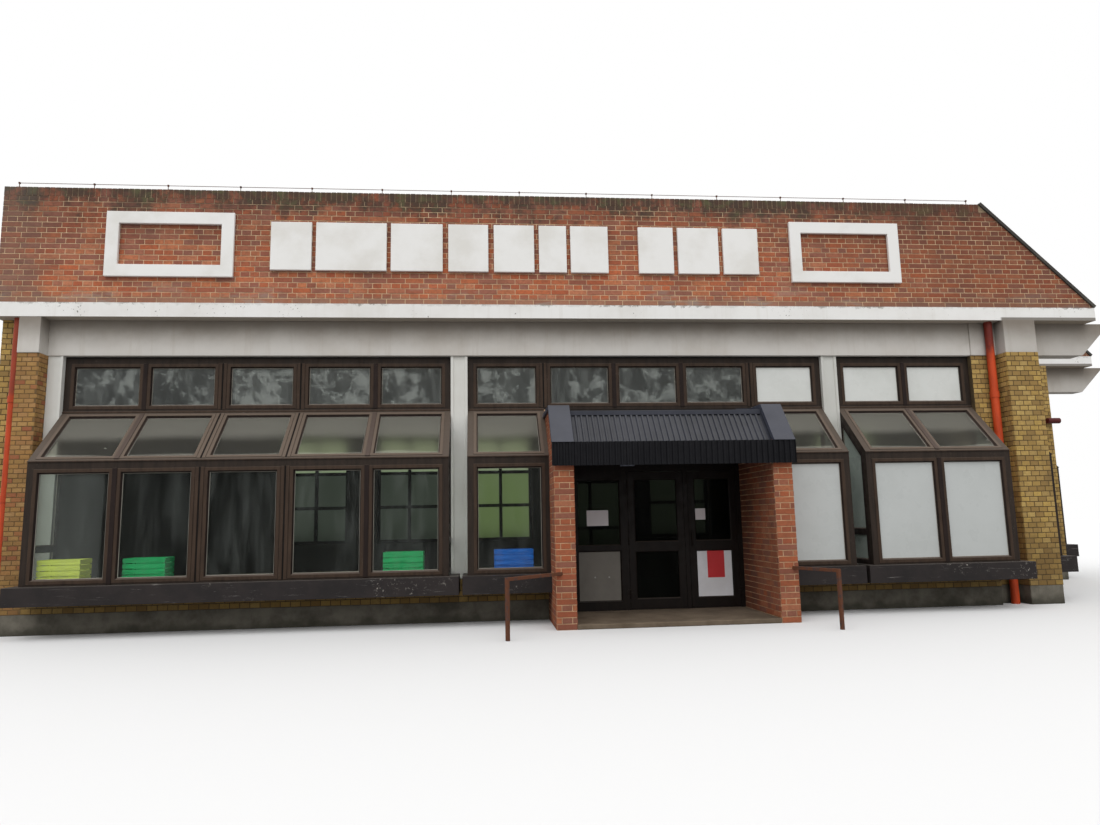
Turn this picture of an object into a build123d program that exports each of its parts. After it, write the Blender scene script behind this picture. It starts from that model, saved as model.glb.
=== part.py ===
"""Small brick railway station: canted glazed bays under a white beam, a deep
red-brick parapet with a raked end, a stepped plan and a porch with two doors.

Everything is laid out first with x along the street front from the party wall,
y into the building from the parapet face and z up from the ground. The parts are
then moved so that the origin lies on the ground below the middle of the hall.
"""
import os
from math import atan2, cos, degrees, hypot, sin, tan

from build123d import *

# How far a cut runs past the faces that it opens
CUT = 10

# Heights above the ground
FLOOR_Z = 60
PLINTH_Z = 265
BASE_Z = 560
SILL_BOTTOM = 410
SILL_TOP = 645
SILL_BOARD_T = 45
EAVE_Z = 2205
SLOPE_TOP = 2915
HEAD_Z = 3700
SLAB_Z = 4200
SLAB_T = 200
PARAPET_H = 1640
DECK_T = 120
DECK_DROP = 120

# Plan of the walls
DEPTH = 7000
WALL_T = 380
PARTY_T = 330
PARAPET_T = 250
LEFT_PIER_W = 280
LEFT_STRIP_W = 200
PILASTER_W = 240
PILASTER_EDGE = 42
PILASTER_STEP = 16
PIPE_STRIP_W = 400
CORNER_PIER = 510
CORNER_PIER_PROUD = 50
STEP_X = 2910
STEP_Y = 3500
REAR_SETBACK = 200

# Planes measured back from the parapet face
FASCIA_Y = 190
PILASTER_Y = 215
RECESS_Y = 200
WINDOW_Y = 280
SLAB_PROUD = 20
LEFT_HEAD_PROUD = 20
STRIP_HEAD_Y = 172

# Window bays
PANE_W = 860
MULLION = 150
WIDE_MULLION = 210
END_FRAME = 130
PORCH_RAIL = 105
FRAME_T = 80
BAY_OUT = 445
CHEEK_T = 60
CHEEK_RAIL = 62
CHEEK_TRANSOM = 70
CHEEK_TRANSOM_Z = 1060
FRONT_GLASS_Z = (713, 2050)
CLERESTORY_GLASS_Z = (3010, 3555)
SLOPE_RAIL_LOW = 75
SLOPE_RAIL_HIGH = 85
GLASS_T = 8
GLASS_SET = 34
SILL_LIP = 130
MIDDLE_SILL_LIP = 65

# Roof
SIDE_OVERHANG = 1030
RAKE_RUN = 1714
SLAB_LEFT_END = 100
SLAB_END_FLAT = 10
SLAB_END_ROUND = 30
SHEET_T = 45
VERGE = 30
BEAM_W = 250
BEAM_TIP_LOW = 930
BEAM_TIP_HIGH = 1430

# Lightning wire along the parapet
WIRE_R = 4
WIRE_H = 85
WIRE_Y = 60
WIRE_END = 150
HOLDER_PITCH = 1000
HOLDER_FOOT = 45
HOLDER_FOOT_T = 12
HOLDER_HEAD = 22

# Porch
PORCH_W = 3090
PORCH_WALL_T = 250
PORCH_OUT = 1070
CANOPY_LIP = 100
CANOPY_SIDE = 32
CANOPY_BOTTOM = 2007
CANOPY_TOP = 2305
RAKE_TOP_Z = 2830
RAKE_TOP_Y = -750
CAP_T = 55
RIB_PITCH = 73
RIB_DEPTH = 20
RIB_CREST = 20
RIB_FLANK = 9
RIB_SHEET = 4
SHEET_DROP = 95
SHEET_TOP_Z = 2700
CANOPY_DECK_T = 50
BEARER_Z = (2110, 2240)
SOFFIT_Z = 2250
SOFFIT_T = 20
LIP_GAP = 3

# Entrance screen
SCREEN_Y = 245
SCREEN_T = 70
SIDE_STILE = 195
SIDE_POST = 110
SIDE_PANEL_Z = (185, 890)
SIDE_GLASS_Z = (960, 1894)
PANEL_T = 20
CENTRE_LEAF_W = 810
MIDDLE_POST = 60
RIGHT_LEAF_W = 710
RIGHT_JAMB = 65
LEAF_GAP = 5
LEAF_T = 45
DOOR_HEAD = 2000
DOOR_BOTTOM_GAP = 8
STILE = 88
BOTTOM_RAIL_TOP = 207
LOCK_RAIL = (870, 1000)
TOP_RAIL_Z = 1894
PIVOT_OUT = 12
KNUCKLE_R = 9
KNUCKLE_H = 40
KNUCKLE_GAP = 0.3
STRAP_W = 38
STRAP_T = 6
HINGES_Z = (260, 1000, 1800)
HANDLE_Z = (930, 1145)
HANDLE_OUT = 42
HANDLE_R = 9
HANDLE_X = 34

# Pipes, rails and crates
PIPE_R = 57
PIPE_Y = 110
PIPE_TO_PIER = 133
PIPE_GAP = 4
COLLAR_R = 66
COLLAR_H = 90
COLLARS_Z = (420, 1750, 3080)
BRACKET_H = 24
RAIL_BAR = 40
RAIL_Z = 680
RAIL_OUT = 680
RAIL_LEFT_SPREAD = 625
RAIL_RIGHT_SPREAD = 205
RAIL_IN = 60
CRATE = (520, 300, 270)
CRATE_WALL = 14
CRATE_FRONT_GAP = 30
CRATE_SHIFTS = (10, 30, 130, 220)

# Rear windows and door
REAR_WINDOW_W = 1400
REAR_SILL_Z = 900
REAR_HEAD_Z = 3200
REAR_DOOR_W = 1500
REAR_DOOR_Z = 2200
REAR_FRAME = 70
REAR_FRAME_T = 70
REAR_FRAME_SET = 120

# Places worked out from the sizes above
LEFT_PIER_X = PARTY_T
LEFT_STRIP_X = LEFT_PIER_X + LEFT_PIER_W
GAPS_1 = (END_FRAME, MULLION, WIDE_MULLION, WIDE_MULLION, MULLION, END_FRAME)
GAPS_2 = (END_FRAME, WIDE_MULLION, MULLION, MULLION, WIDE_MULLION, END_FRAME)
GAPS_3 = (END_FRAME, MULLION, END_FRAME)


def group_width(gaps, pane=PANE_W):
    return sum(gaps) + pane * (len(gaps) - 1)


BAY_1_X = LEFT_STRIP_X + LEFT_STRIP_W
PILASTER_1_X = BAY_1_X + group_width(GAPS_1)
BAY_2_X = PILASTER_1_X + PILASTER_W
PILASTER_2_X = BAY_2_X + group_width(GAPS_2)
BAY_3_X = PILASTER_2_X + PILASTER_W
PIPE_STRIP_X = BAY_3_X + group_width(GAPS_3)
CORNER_X = PIPE_STRIP_X + PIPE_STRIP_W
SIDE_X = CORNER_X + CORNER_PIER
SIDE_2_X = SIDE_X + STEP_X
CORNER_BACK = CORNER_PIER - CORNER_PIER_PROUD
EAVES_X = SIDE_X + SIDE_OVERHANG
SLAB_TOP = SLAB_Z + SLAB_T
ROOF_Z = SLAB_TOP + PARAPET_H
REAR_Y = DEPTH - REAR_SETBACK
PORCH_X0 = BAY_2_X + (group_width(GAPS_2) - PORCH_W) / 2
PORCH_X1 = PORCH_X0 + PORCH_W
SCREEN_X0 = PORCH_X0 + PORCH_WALL_T
SCREEN_X1 = PORCH_X1 - PORCH_WALL_T
BAY_Y = -BAY_OUT
ORIGIN = ((PORCH_X0 + PORCH_X1) / 2, DEPTH / 2)

parts = {}


def block(x0, x1, y0, y1, z0, z1):
    box = Box(x1 - x0, y1 - y0, z1 - z0)
    return Pos((x0 + x1) / 2, (y0 + y1) / 2, (z0 + z1) / 2) * box


def along_x(outline, x0, x1):
    """A (y, z) outline carried along x."""
    face = Plane.YZ * make_face(Polyline(*outline, close=True))
    return Pos(x0, 0, 0) * extrude(face, amount=x1 - x0, dir=(1, 0, 0))


def along_y(outline, y0, y1):
    """An (x, z) outline carried along y."""
    face = Plane.XZ * make_face(Polyline(*outline, close=True))
    return Pos(0, y0, 0) * extrude(face, amount=y1 - y0, dir=(0, 1, 0))


def fuse(shapes):
    whole = shapes[0]
    for shape in shapes[1:]:
        whole = whole + shape
    return whole


def put(name, *shapes):
    """File shapes under a node; shapes of one node do not touch each other."""
    parts.setdefault(name, []).extend(shapes)


# Lines of the bay's section: s runs up the slope from the eave, d goes inwards
SLOPE_RUN = WINDOW_Y - BAY_Y
SLOPE_RISE = SLOPE_TOP - EAVE_Z
SLOPE_L = hypot(SLOPE_RUN, SLOPE_RISE)
SLOPE_ANGLE = atan2(SLOPE_RISE, SLOPE_RUN)


def slope_point(s, d):
    y = BAY_Y + s * cos(SLOPE_ANGLE) + d * sin(SLOPE_ANGLE)
    z = EAVE_Z + s * sin(SLOPE_ANGLE) - d * cos(SLOPE_ANGLE)
    return (y, z)


def inner_slope_z(y):
    """Height of the slope's inside face above a point of the floor."""
    y0, z0 = slope_point(0, FRAME_T)
    return z0 + (y - y0) * tan(SLOPE_ANGLE)


def pane_starts(gaps, pane=PANE_W):
    starts = []
    x = 0
    for gap in gaps[:-1]:
        x += gap
        starts.append(x)
        x += pane
    return starts


def slope_prism(s0, s1, d0, d1, x0, x1):
    outline = [slope_point(s0, d0), slope_point(s1, d0), slope_point(s1, d1), slope_point(s0, d1)]
    return along_x(outline, x0, x1)


def bay_frame(x0, x1, panes):
    """Front and slope of a bay, one bent frame with an opening for each pane."""
    corner_y = BAY_Y + FRAME_T
    top_inner = WINDOW_Y + FRAME_T / sin(SLOPE_ANGLE)
    outline = [
        (BAY_Y, SILL_TOP), (BAY_Y, EAVE_Z), (WINDOW_Y, SLOPE_TOP),
        (top_inner, SLOPE_TOP), (corner_y, inner_slope_z(corner_y)), (corner_y, SILL_TOP),
    ]
    frame = along_x(outline, x0, x1)
    for start, width in panes:
        frame -= block(start, start + width, BAY_Y - CUT, corner_y + CUT, *FRONT_GLASS_Z)
        frame -= slope_prism(SLOPE_RAIL_LOW, SLOPE_L - SLOPE_RAIL_HIGH, -CUT, FRAME_T + CUT,
                             start, start + width)
    return frame


def bay_glass(panes):
    sheets = []
    for start, width in panes:
        y = BAY_Y + GLASS_SET
        sheets.append(block(start, start + width, y, y + GLASS_T, *FRONT_GLASS_Z))
        sheets.append(slope_prism(SLOPE_RAIL_LOW, SLOPE_L - SLOPE_RAIL_HIGH, GLASS_SET,
                                  GLASS_SET + GLASS_T, start, start + width))
    return sheets


def inset_quad(corners, inset):
    """The four corners of an upright-sided quad moved inwards by the rail width."""
    (y0, z0), (_, z1), (y1, z2), _ = corners
    rise = (z2 - z1) / (y1 - y0)
    drop = inset * hypot(1, rise)
    low = z0 + inset
    left, right = y0 + inset, y1 - inset
    left_top, right_top = (z1 + rise * (y - y0) - drop for y in (left, right))
    return (left, low), (left, left_top), (right, right_top), (right, low)


def cheek(x0, x1):
    """Glazed end of a bay with one transom; returns the frame and its two panes."""
    y0 = BAY_Y + FRAME_T
    corners = ((y0, SILL_TOP), (y0, inner_slope_z(y0)),
               (WINDOW_Y, inner_slope_z(WINDOW_Y)), (WINDOW_Y, SILL_TOP))
    opening = inset_quad(corners, CHEEK_RAIL)
    (left, low), (_, left_top), (right, right_top), _ = opening
    bar_top = CHEEK_TRANSOM_Z + CHEEK_TRANSOM
    lower = [(left, low), (left, CHEEK_TRANSOM_Z), (right, CHEEK_TRANSOM_Z), (right, low)]
    upper = [(left, bar_top), (left, left_top), (right, right_top), (right, bar_top)]
    frame = along_x(corners, x0, x1)
    for outline in (lower, upper):
        frame -= along_x(outline, x0 - CUT, x1 + CUT)
    middle = (x0 + x1 - GLASS_T) / 2
    panes = [along_x(outline, middle, middle + GLASS_T) for outline in (lower, upper)]
    return frame, panes


def clerestory(x0, x1, panes):
    frame = block(x0, x1, WINDOW_Y, WINDOW_Y + FRAME_T, SLOPE_TOP, HEAD_Z)
    sheets = []
    y = WINDOW_Y + GLASS_SET
    for start, width in panes:
        frame -= block(start, start + width, WINDOW_Y - CUT, WINDOW_Y + FRAME_T + CUT,
                       *CLERESTORY_GLASS_Z)
        sheets.append(block(start, start + width, y, y + GLASS_T, *CLERESTORY_GLASS_Z))
    return frame, sheets


def sill(x0, x1, lip_left, lip_right):
    """Boxed sill: hangs in front of the base wall and rests on its top."""
    front = block(x0 - lip_left, x1 + lip_right, BAY_Y - SILL_LIP, 0, SILL_BOTTOM, SILL_TOP)
    rest = block(x0, x1, 0, WALL_T, BASE_Z, SILL_TOP)
    return front + rest


def sill_board(x0, x1):
    return block(x0, x1, BAY_Y + FRAME_T, WALL_T, SILL_TOP, SILL_TOP + SILL_BOARD_T)


def panes_of(x, gaps, pane=PANE_W):
    return [(x + start, pane) for start in pane_starts(gaps, pane)]


def whole_bay(x0, gaps, pane=PANE_W, lips=(SILL_LIP, SILL_LIP)):
    """All the pieces of one bay that has a cheek at both ends."""
    x1 = x0 + group_width(gaps, pane)
    panes = panes_of(x0, gaps, pane)
    left, left_panes = cheek(x0, x0 + CHEEK_T)
    right, right_panes = cheek(x1 - CHEEK_T, x1)
    head, head_panes = clerestory(x0, x1, panes)
    return {
        "frame": [bay_frame(x0, x1, panes)],
        "cheeks": [left, right],
        "clerestory": [head],
        "glass": bay_glass(panes) + left_panes + right_panes + head_panes,
        "sill": [sill(x0, x1, *lips)],
        "board": [sill_board(x0 + CHEEK_T, x1 - CHEEK_T)],
    }


def front_bays():
    for number, (x, gaps) in enumerate(((BAY_1_X, GAPS_1), (BAY_3_X, GAPS_3))):
        pieces = whole_bay(x, gaps)
        put(f"bay_{1 + 2 * number}_frame", *pieces["frame"])
        put("bay_cheeks", *pieces["cheeks"])
        put("clerestory_frames", *pieces["clerestory"])
        put("bay_glass", *pieces["glass"])
        put("bay_sills", *pieces["sill"])
        put("sill_boards", *pieces["board"])

    # The middle bay is cut in two by the porch, and its upper lights run on behind it
    end = BAY_2_X + group_width(GAPS_2)
    head, head_panes = clerestory(BAY_2_X, end, panes_of(BAY_2_X, GAPS_2))
    put("clerestory_frames", head)
    put("bay_glass", *head_panes)
    left_x, right_x = BAY_2_X + END_FRAME, PORCH_X1 + PORCH_RAIL
    left = [(left_x, PORCH_X0 - PORCH_RAIL - left_x)]
    right = [(right_x, end - END_FRAME - right_x)]
    put("bay_2_frame", bay_frame(BAY_2_X, PORCH_X0, left), bay_frame(PORCH_X1, end, right))
    put("bay_glass", *bay_glass(left + right))
    for x in (BAY_2_X, end - CHEEK_T):
        frame, sheets = cheek(x, x + CHEEK_T)
        put("bay_cheeks", frame)
        put("bay_glass", *sheets)
    put("bay_sills", sill(BAY_2_X, PORCH_X0, MIDDLE_SILL_LIP, 0),
        sill(PORCH_X1, end, 0, MIDDLE_SILL_LIP))
    put("sill_boards", sill_board(BAY_2_X + CHEEK_T, PORCH_X0), sill_board(PORCH_X1, end - CHEEK_T))


def side_place(x, y):
    """Turns a wall drawn for the street front into one that faces +x."""
    return Pos(x, y, 0) * Rot(0, 0, 90)


def side_bays():
    """One bay in each side wall and one in the stepped-back front."""
    names = {
        "frame": "side_bay_frames", "cheeks": "bay_cheeks", "clerestory": "clerestory_frames",
        "glass": "bay_glass", "sill": "bay_sills", "board": "sill_boards",
    }
    return_w = STEP_X - CORNER_PIER - PIPE_STRIP_W
    return_pane = (return_w - sum(GAPS_3)) / (len(GAPS_3) - 1)
    bays = [
        (side_place(SIDE_X, CORNER_BACK), whole_bay(0, GAPS_3)),
        (side_place(SIDE_2_X, STEP_Y + CORNER_BACK), whole_bay(0, GAPS_3)),
        (Pos(SIDE_X, STEP_Y, 0), whole_bay(0, GAPS_3, return_pane, (0, SILL_LIP))),
    ]
    for place, pieces in bays:
        for kind, shapes in pieces.items():
            put(names[kind], *[place * shape for shape in shapes])


def corner_foot(x, y):
    """Plinth below a corner pier and the strip beside it."""
    strip = block(x - PIPE_STRIP_W, x, y + RECESS_Y, y + WALL_T, 0, PLINTH_Z)
    return strip + block(x, x + CORNER_PIER, y - CORNER_PIER_PROUD, y + CORNER_BACK, 0, PLINTH_Z)


def step_walls(z0, z1):
    """The stretches of wall that meet in the inner corner of the step."""
    side = block(SIDE_X - WALL_T, SIDE_X, CORNER_BACK, STEP_Y + WALL_T, z0, z1)
    end = SIDE_2_X - CORNER_PIER - PIPE_STRIP_W
    return side + block(SIDE_X, end, STEP_Y, STEP_Y + WALL_T, z0, z1)


def far_side_wall(z0, z1):
    return block(SIDE_2_X - WALL_T, SIDE_2_X, STEP_Y + CORNER_BACK, REAR_Y, z0, z1)


def base_and_plinth():
    """Concrete plinth and, on it, the low brick wall below the bays."""
    put("plinth_front",
        block(LEFT_PIER_X, PORCH_X0, 0, WALL_T, 0, PLINTH_Z),
        block(PORCH_X1, PIPE_STRIP_X, 0, WALL_T, 0, PLINTH_Z) + corner_foot(CORNER_X, 0))
    put("plinth_side",
        step_walls(0, PLINTH_Z) + corner_foot(CORNER_X + STEP_X, STEP_Y) + far_side_wall(0, PLINTH_Z))
    put("base_walls",
        block(LEFT_STRIP_X, PORCH_X0, 0, WALL_T, PLINTH_Z, BASE_Z),
        block(PORCH_X1, PIPE_STRIP_X, 0, WALL_T, PLINTH_Z, BASE_Z),
        step_walls(PLINTH_Z, BASE_Z),
        far_side_wall(PLINTH_Z, BASE_Z))


def pilaster(x):
    """White pilaster whose face lies back between two raised edges."""
    shaft = block(x, x + PILASTER_W, PILASTER_Y, WALL_T, BASE_Z, HEAD_Z)
    return shaft - block(x + PILASTER_EDGE, x + PILASTER_W - PILASTER_EDGE,
                         PILASTER_Y - CUT, PILASTER_Y + PILASTER_STEP, BASE_Z - CUT, HEAD_Z + CUT)


def piers():
    put("left_pier", block(LEFT_PIER_X, LEFT_STRIP_X, 0, WALL_T, PLINTH_Z, HEAD_Z))
    for x, y in ((CORNER_X, 0), (CORNER_X + STEP_X, STEP_Y)):
        put("corner_piers", block(x, x + CORNER_PIER, y - CORNER_PIER_PROUD, y + CORNER_BACK,
                                  PLINTH_Z, HEAD_Z))
        put("pipe_strips", block(x - PIPE_STRIP_W, x, y + RECESS_Y, y + WALL_T, PLINTH_Z, HEAD_Z))
    bay_end = CORNER_BACK + group_width(GAPS_3)
    put("side_piers",
        block(SIDE_X - WALL_T, SIDE_X, bay_end, STEP_Y + WALL_T, BASE_Z, HEAD_Z),
        block(SIDE_2_X - WALL_T, SIDE_2_X, STEP_Y + bay_end, REAR_Y, BASE_Z, HEAD_Z))
    strip = block(LEFT_STRIP_X, BAY_1_X, PILASTER_Y, WALL_T, BASE_Z, HEAD_Z)
    put("pilasters", strip, pilaster(PILASTER_1_X), pilaster(PILASTER_2_X))


def beams():
    """White concrete: fascia, the heads over the piers and the cantilevers."""
    put("fascia_beam", block(LEFT_STRIP_X, PIPE_STRIP_X, FASCIA_Y, WALL_T, HEAD_Z, SLAB_Z))
    put("pier_heads", block(LEFT_PIER_X, LEFT_STRIP_X, -LEFT_HEAD_PROUD, WALL_T, HEAD_Z, SLAB_Z))
    heads = [
        block(PIPE_STRIP_X, CORNER_X, STRIP_HEAD_Y, WALL_T, HEAD_Z, SLAB_Z),
        block(CORNER_X, SIDE_X, -CORNER_PIER_PROUD, CORNER_BACK, HEAD_Z, SLAB_Z),
    ]
    put("pier_heads", fuse(heads))
    inner, outer = WALL_T, FASCIA_Y
    side = [
        block(SIDE_X - inner, SIDE_X - outer, CORNER_BACK, STEP_Y + WALL_T, HEAD_Z, SLAB_Z),
        block(SIDE_X - outer, CORNER_X + STEP_X - PIPE_STRIP_W, STEP_Y + outer, STEP_Y + inner,
              HEAD_Z, SLAB_Z),
        Pos(STEP_X, STEP_Y, 0) * fuse(heads),
        block(SIDE_2_X - inner, SIDE_2_X - outer, STEP_Y + CORNER_BACK, REAR_Y, HEAD_Z, SLAB_Z),
    ]
    put("side_fascia", fuse(side))
    outline = [(0, HEAD_Z), (BEAM_TIP_LOW, HEAD_Z), (BEAM_TIP_HIGH, SLAB_Z), (0, SLAB_Z)]
    for x, y in ((SIDE_X, 0), (SIDE_2_X, STEP_Y)):
        beam = Pos(x, 0, 0) * along_y(outline, y + FASCIA_Y, y + FASCIA_Y + BEAM_W)
        put("cantilever_beams", beam)
    reach = SIDE_2_X - FASCIA_Y
    rear = [(reach, HEAD_Z)] + [(SIDE_2_X + px, pz) for px, pz in outline[1:3]] + [(reach, SLAB_Z)]
    put("cantilever_beams", along_y(rear, REAR_Y - BEAM_W, REAR_Y))


def walls():
    put("party_wall", block(0, PARTY_T, RECESS_Y, REAR_Y, 0, SLAB_Z))
    rear = block(PARTY_T, SIDE_2_X - WALL_T, REAR_Y - WALL_T, REAR_Y, 0, SLAB_Z)
    frames, sheets = [], []
    frame_y = REAR_Y - REAR_FRAME_SET
    for x0, x1, z0, z1, door in rear_openings():
        rear -= block(x0, x1, REAR_Y - WALL_T - CUT, REAR_Y + CUT, z0, z1)
        frame = block(x0, x1, frame_y - REAR_FRAME_T, frame_y, z0, z1)
        rows = 2 if door else 3
        width = (x1 - x0 - 3 * REAR_FRAME) / 2
        height = (z1 - z0 - (rows + 1) * REAR_FRAME) / rows
        for column in range(2):
            for row in range(rows):
                px = x0 + REAR_FRAME + column * (width + REAR_FRAME)
                pz = z0 + REAR_FRAME + row * (height + REAR_FRAME)
                frame -= block(px, px + width, frame_y - REAR_FRAME_T - CUT, frame_y + CUT,
                               pz, pz + height)
                sheet_y = frame_y - REAR_FRAME_T / 2
                sheets.append(block(px, px + width, sheet_y, sheet_y + GLASS_T, pz, pz + height))
        frames.append(frame)
    put("rear_wall", rear)
    put("rear_windows", *frames[1:])
    put("rear_door", frames[0])
    put("rear_glass", *sheets)


def rear_openings():
    """The platform side: a glazed door in the middle, windows either side."""
    middle = ORIGIN[0]
    openings = [(middle - REAR_DOOR_W / 2, middle + REAR_DOOR_W / 2, FLOOR_Z, REAR_DOOR_Z, True)]
    pitch = REAR_WINDOW_W + PILASTER_W + WALL_T
    for side in (-1, 1):
        for number in range(1, 4):
            x = middle + side * number * pitch
            openings.append((x - REAR_WINDOW_W / 2, x + REAR_WINDOW_W / 2, REAR_SILL_Z,
                             REAR_HEAD_Z, False))
    return openings


def rake_x(z):
    """Where the raked end of the first parapet stands at height z."""
    return EAVES_X - RAKE_RUN * (z - SLAB_TOP) / PARAPET_H


def slab_end():
    """The short end that runs on past the party wall, rounded below and eased above."""
    end = block(-SLAB_LEFT_END, 0, -SLAB_PROUD, PARAPET_T, SLAB_Z, SLAB_TOP)
    low = end.edges().filter_by(Axis.Y).group_by(Axis.X)[0].sort_by(Axis.Z)[0]
    end = fillet(low, SLAB_LEFT_END - SLAB_END_FLAT)
    high = end.edges().filter_by(Axis.Y).group_by(Axis.Z)[-1].sort_by(Axis.X)[0]
    return fillet(high, SLAB_END_ROUND)


def roof():
    slab = block(0, EAVES_X, -SLAB_PROUD, STEP_Y, SLAB_Z, SLAB_TOP)
    slab += block(0, EAVES_X + STEP_X, STEP_Y - SLAB_PROUD, DEPTH + SLAB_PROUD, SLAB_Z, SLAB_TOP)
    put("roof_slab", slab + slab_end())

    def gable(x0, shift, y0):
        outline = [(x0, SLAB_TOP), (EAVES_X + shift, SLAB_TOP),
                   (rake_x(ROOF_Z) + shift, ROOF_Z), (x0, ROOF_Z)]
        return along_y(outline, y0, y0 + PARAPET_T)

    put("parapet_front", gable(0, 0, 0))
    put("parapet_rear", gable(0, STEP_X, DEPTH - PARAPET_T))
    step = [(EAVES_X, SLAB_TOP), (EAVES_X + STEP_X, SLAB_TOP),
            (rake_x(ROOF_Z) + STEP_X, ROOF_Z), (rake_x(ROOF_Z), ROOF_Z)]
    put("parapet_step", along_y(step, STEP_Y, STEP_Y + PARAPET_T))
    put("parapet_party", block(0, PARAPET_T, PARAPET_T, DEPTH - PARAPET_T, SLAB_TOP, ROOF_Z))

    top = ROOF_Z - DECK_DROP
    low = top - DECK_T
    deck = [along_y([(PARAPET_T, low), (rake_x(low) + shift, low), (rake_x(top) + shift, top),
                     (PARAPET_T, top)], y0, y1)
            for shift, y0, y1 in ((0, PARAPET_T, STEP_Y + PARAPET_T),
                                  (STEP_X, STEP_Y + PARAPET_T, DEPTH - PARAPET_T))]
    put("roof_deck", fuse(deck))

    length = hypot(RAKE_RUN, PARAPET_H)
    nx, nz = PARAPET_H / length, RAKE_RUN / length
    sheet = [(EAVES_X, SLAB_TOP), (EAVES_X + nx * SHEET_T, SLAB_TOP + nz * SHEET_T),
             (rake_x(ROOF_Z) + nx * SHEET_T, ROOF_Z + nz * SHEET_T), (rake_x(ROOF_Z), ROOF_Z)]
    first = along_y(sheet, -VERGE, STEP_Y)
    second = Pos(STEP_X, 0, 0) * along_y(sheet, STEP_Y - VERGE, DEPTH + VERGE)
    put("roof_slopes", first, second)


def lightning_wire():
    """Round wire on holders that stand on top of the front parapet."""
    x0, x1 = WIRE_END, rake_x(ROOF_Z) - WIRE_END
    z = ROOF_Z + WIRE_H
    half_foot, half_head = HOLDER_FOOT / 2, HOLDER_HEAD / 2
    wire = Pos((x0 + x1) / 2, WIRE_Y, z) * Rot(0, 90, 0) * Cylinder(WIRE_R, x1 - x0)
    count = round((x1 - x0) / HOLDER_PITCH)
    for number in range(count + 1):
        x = x0 + (x1 - x0) * number / count
        wire += block(x - half_foot, x + half_foot, WIRE_Y - half_foot, WIRE_Y + half_foot,
                      ROOF_Z, ROOF_Z + HOLDER_FOOT_T)
        wire += block(x - WIRE_R, x + WIRE_R, WIRE_Y - WIRE_R, WIRE_Y + WIRE_R, ROOF_Z, z)
        wire += block(x - half_head, x + half_head, WIRE_Y - half_head, WIRE_Y + half_head,
                      z - half_head, z + half_head)
    put("lightning_wire", wire)


def floors():
    slab = block(PARTY_T, SIDE_X - WALL_T, WALL_T, REAR_Y - WALL_T, 0, FLOOR_Z)
    slab += block(SIDE_X - WALL_T, SIDE_2_X - WALL_T, STEP_Y + WALL_T, REAR_Y - WALL_T, 0, FLOOR_Z)
    for x, y in ((CORNER_X, 0), (CORNER_X + STEP_X, STEP_Y)):
        slab -= block(x, x + CORNER_PIER, y, y + CORNER_BACK, -CUT, FLOOR_Z + CUT)
    put("floor_slab", slab)
    put("porch_floor", block(SCREEN_X0, SCREEN_X1, -PORCH_OUT, WALL_T, 0, FLOOR_Z))


# The porch's raked line, along which the side caps and the sheet lie
FRONT_Y = -PORCH_OUT - CANOPY_LIP
RAKE_ANGLE = atan2(RAKE_TOP_Z - CANOPY_TOP, RAKE_TOP_Y - FRONT_Y)


def rake_line(d, y):
    """Height of the line that lies d below the caps' top face, over y."""
    return CANOPY_TOP + (y - FRONT_Y) * tan(RAKE_ANGLE) - d / cos(RAKE_ANGLE)


def rake_bend(d):
    """Where the line d below the top face turns level; it mitres the bend."""
    z = RAKE_TOP_Z - d
    return (FRONT_Y + (z + d / cos(RAKE_ANGLE) - CANOPY_TOP) / tan(RAKE_ANGLE), z)


def porch():
    wall_front = -PORCH_OUT
    bend = rake_bend(CAP_T)
    outline = [(wall_front, 0), (wall_front, rake_line(CAP_T, wall_front)), bend,
               (SCREEN_Y, bend[1]), (SCREEN_Y, SLOPE_TOP), (WALL_T, SLOPE_TOP), (WALL_T, 0)]
    put("porch_walls", along_x(outline, PORCH_X0, SCREEN_X0), along_x(outline, SCREEN_X1, PORCH_X1))

    foot = (FRONT_Y + CAP_T / sin(RAKE_ANGLE), CANOPY_TOP)
    start = [(FRONT_Y, CANOPY_TOP), (RAKE_TOP_Y, RAKE_TOP_Z)]
    cap = start + [(SCREEN_Y, RAKE_TOP_Z), (SCREEN_Y, bend[1]), bend, foot]
    lip_end = BAY_Y + (bend[1] - EAVE_Z) / tan(SLOPE_ANGLE) - LIP_GAP
    lip = start + [(lip_end, RAKE_TOP_Z), (lip_end, bend[1]), bend, foot]
    put("canopy_caps",
        along_x(cap, PORCH_X0, SCREEN_X0) + along_x(lip, PORCH_X0 - CANOPY_SIDE, PORCH_X0),
        along_x(cap, SCREEN_X1, PORCH_X1) + along_x(lip, PORCH_X1, PORCH_X1 + CANOPY_SIDE))


def rib_line(length):
    """A trapezoid corrugation as (x, depth) points from 0 to length."""
    count = round(length / RIB_PITCH)
    pitch = length / count
    points = []
    for number in range(count):
        x = number * pitch
        valley = x + RIB_CREST + RIB_FLANK
        points += [(x, 0), (x + RIB_CREST, 0), (valley, RIB_DEPTH),
                   (x + pitch - RIB_FLANK, RIB_DEPTH)]
    return points + [(length, 0)]


def rib_sheet(length, height):
    """Corrugated sheet: ribs side by side along x, standing up z, thick in y."""
    front = rib_line(length)
    back = [(x, depth + RIB_SHEET) for x, depth in reversed(front)]
    face = make_face(Polyline(*front, *back, close=True))
    return extrude(face, amount=height, dir=(0, 0, 1))


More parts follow.
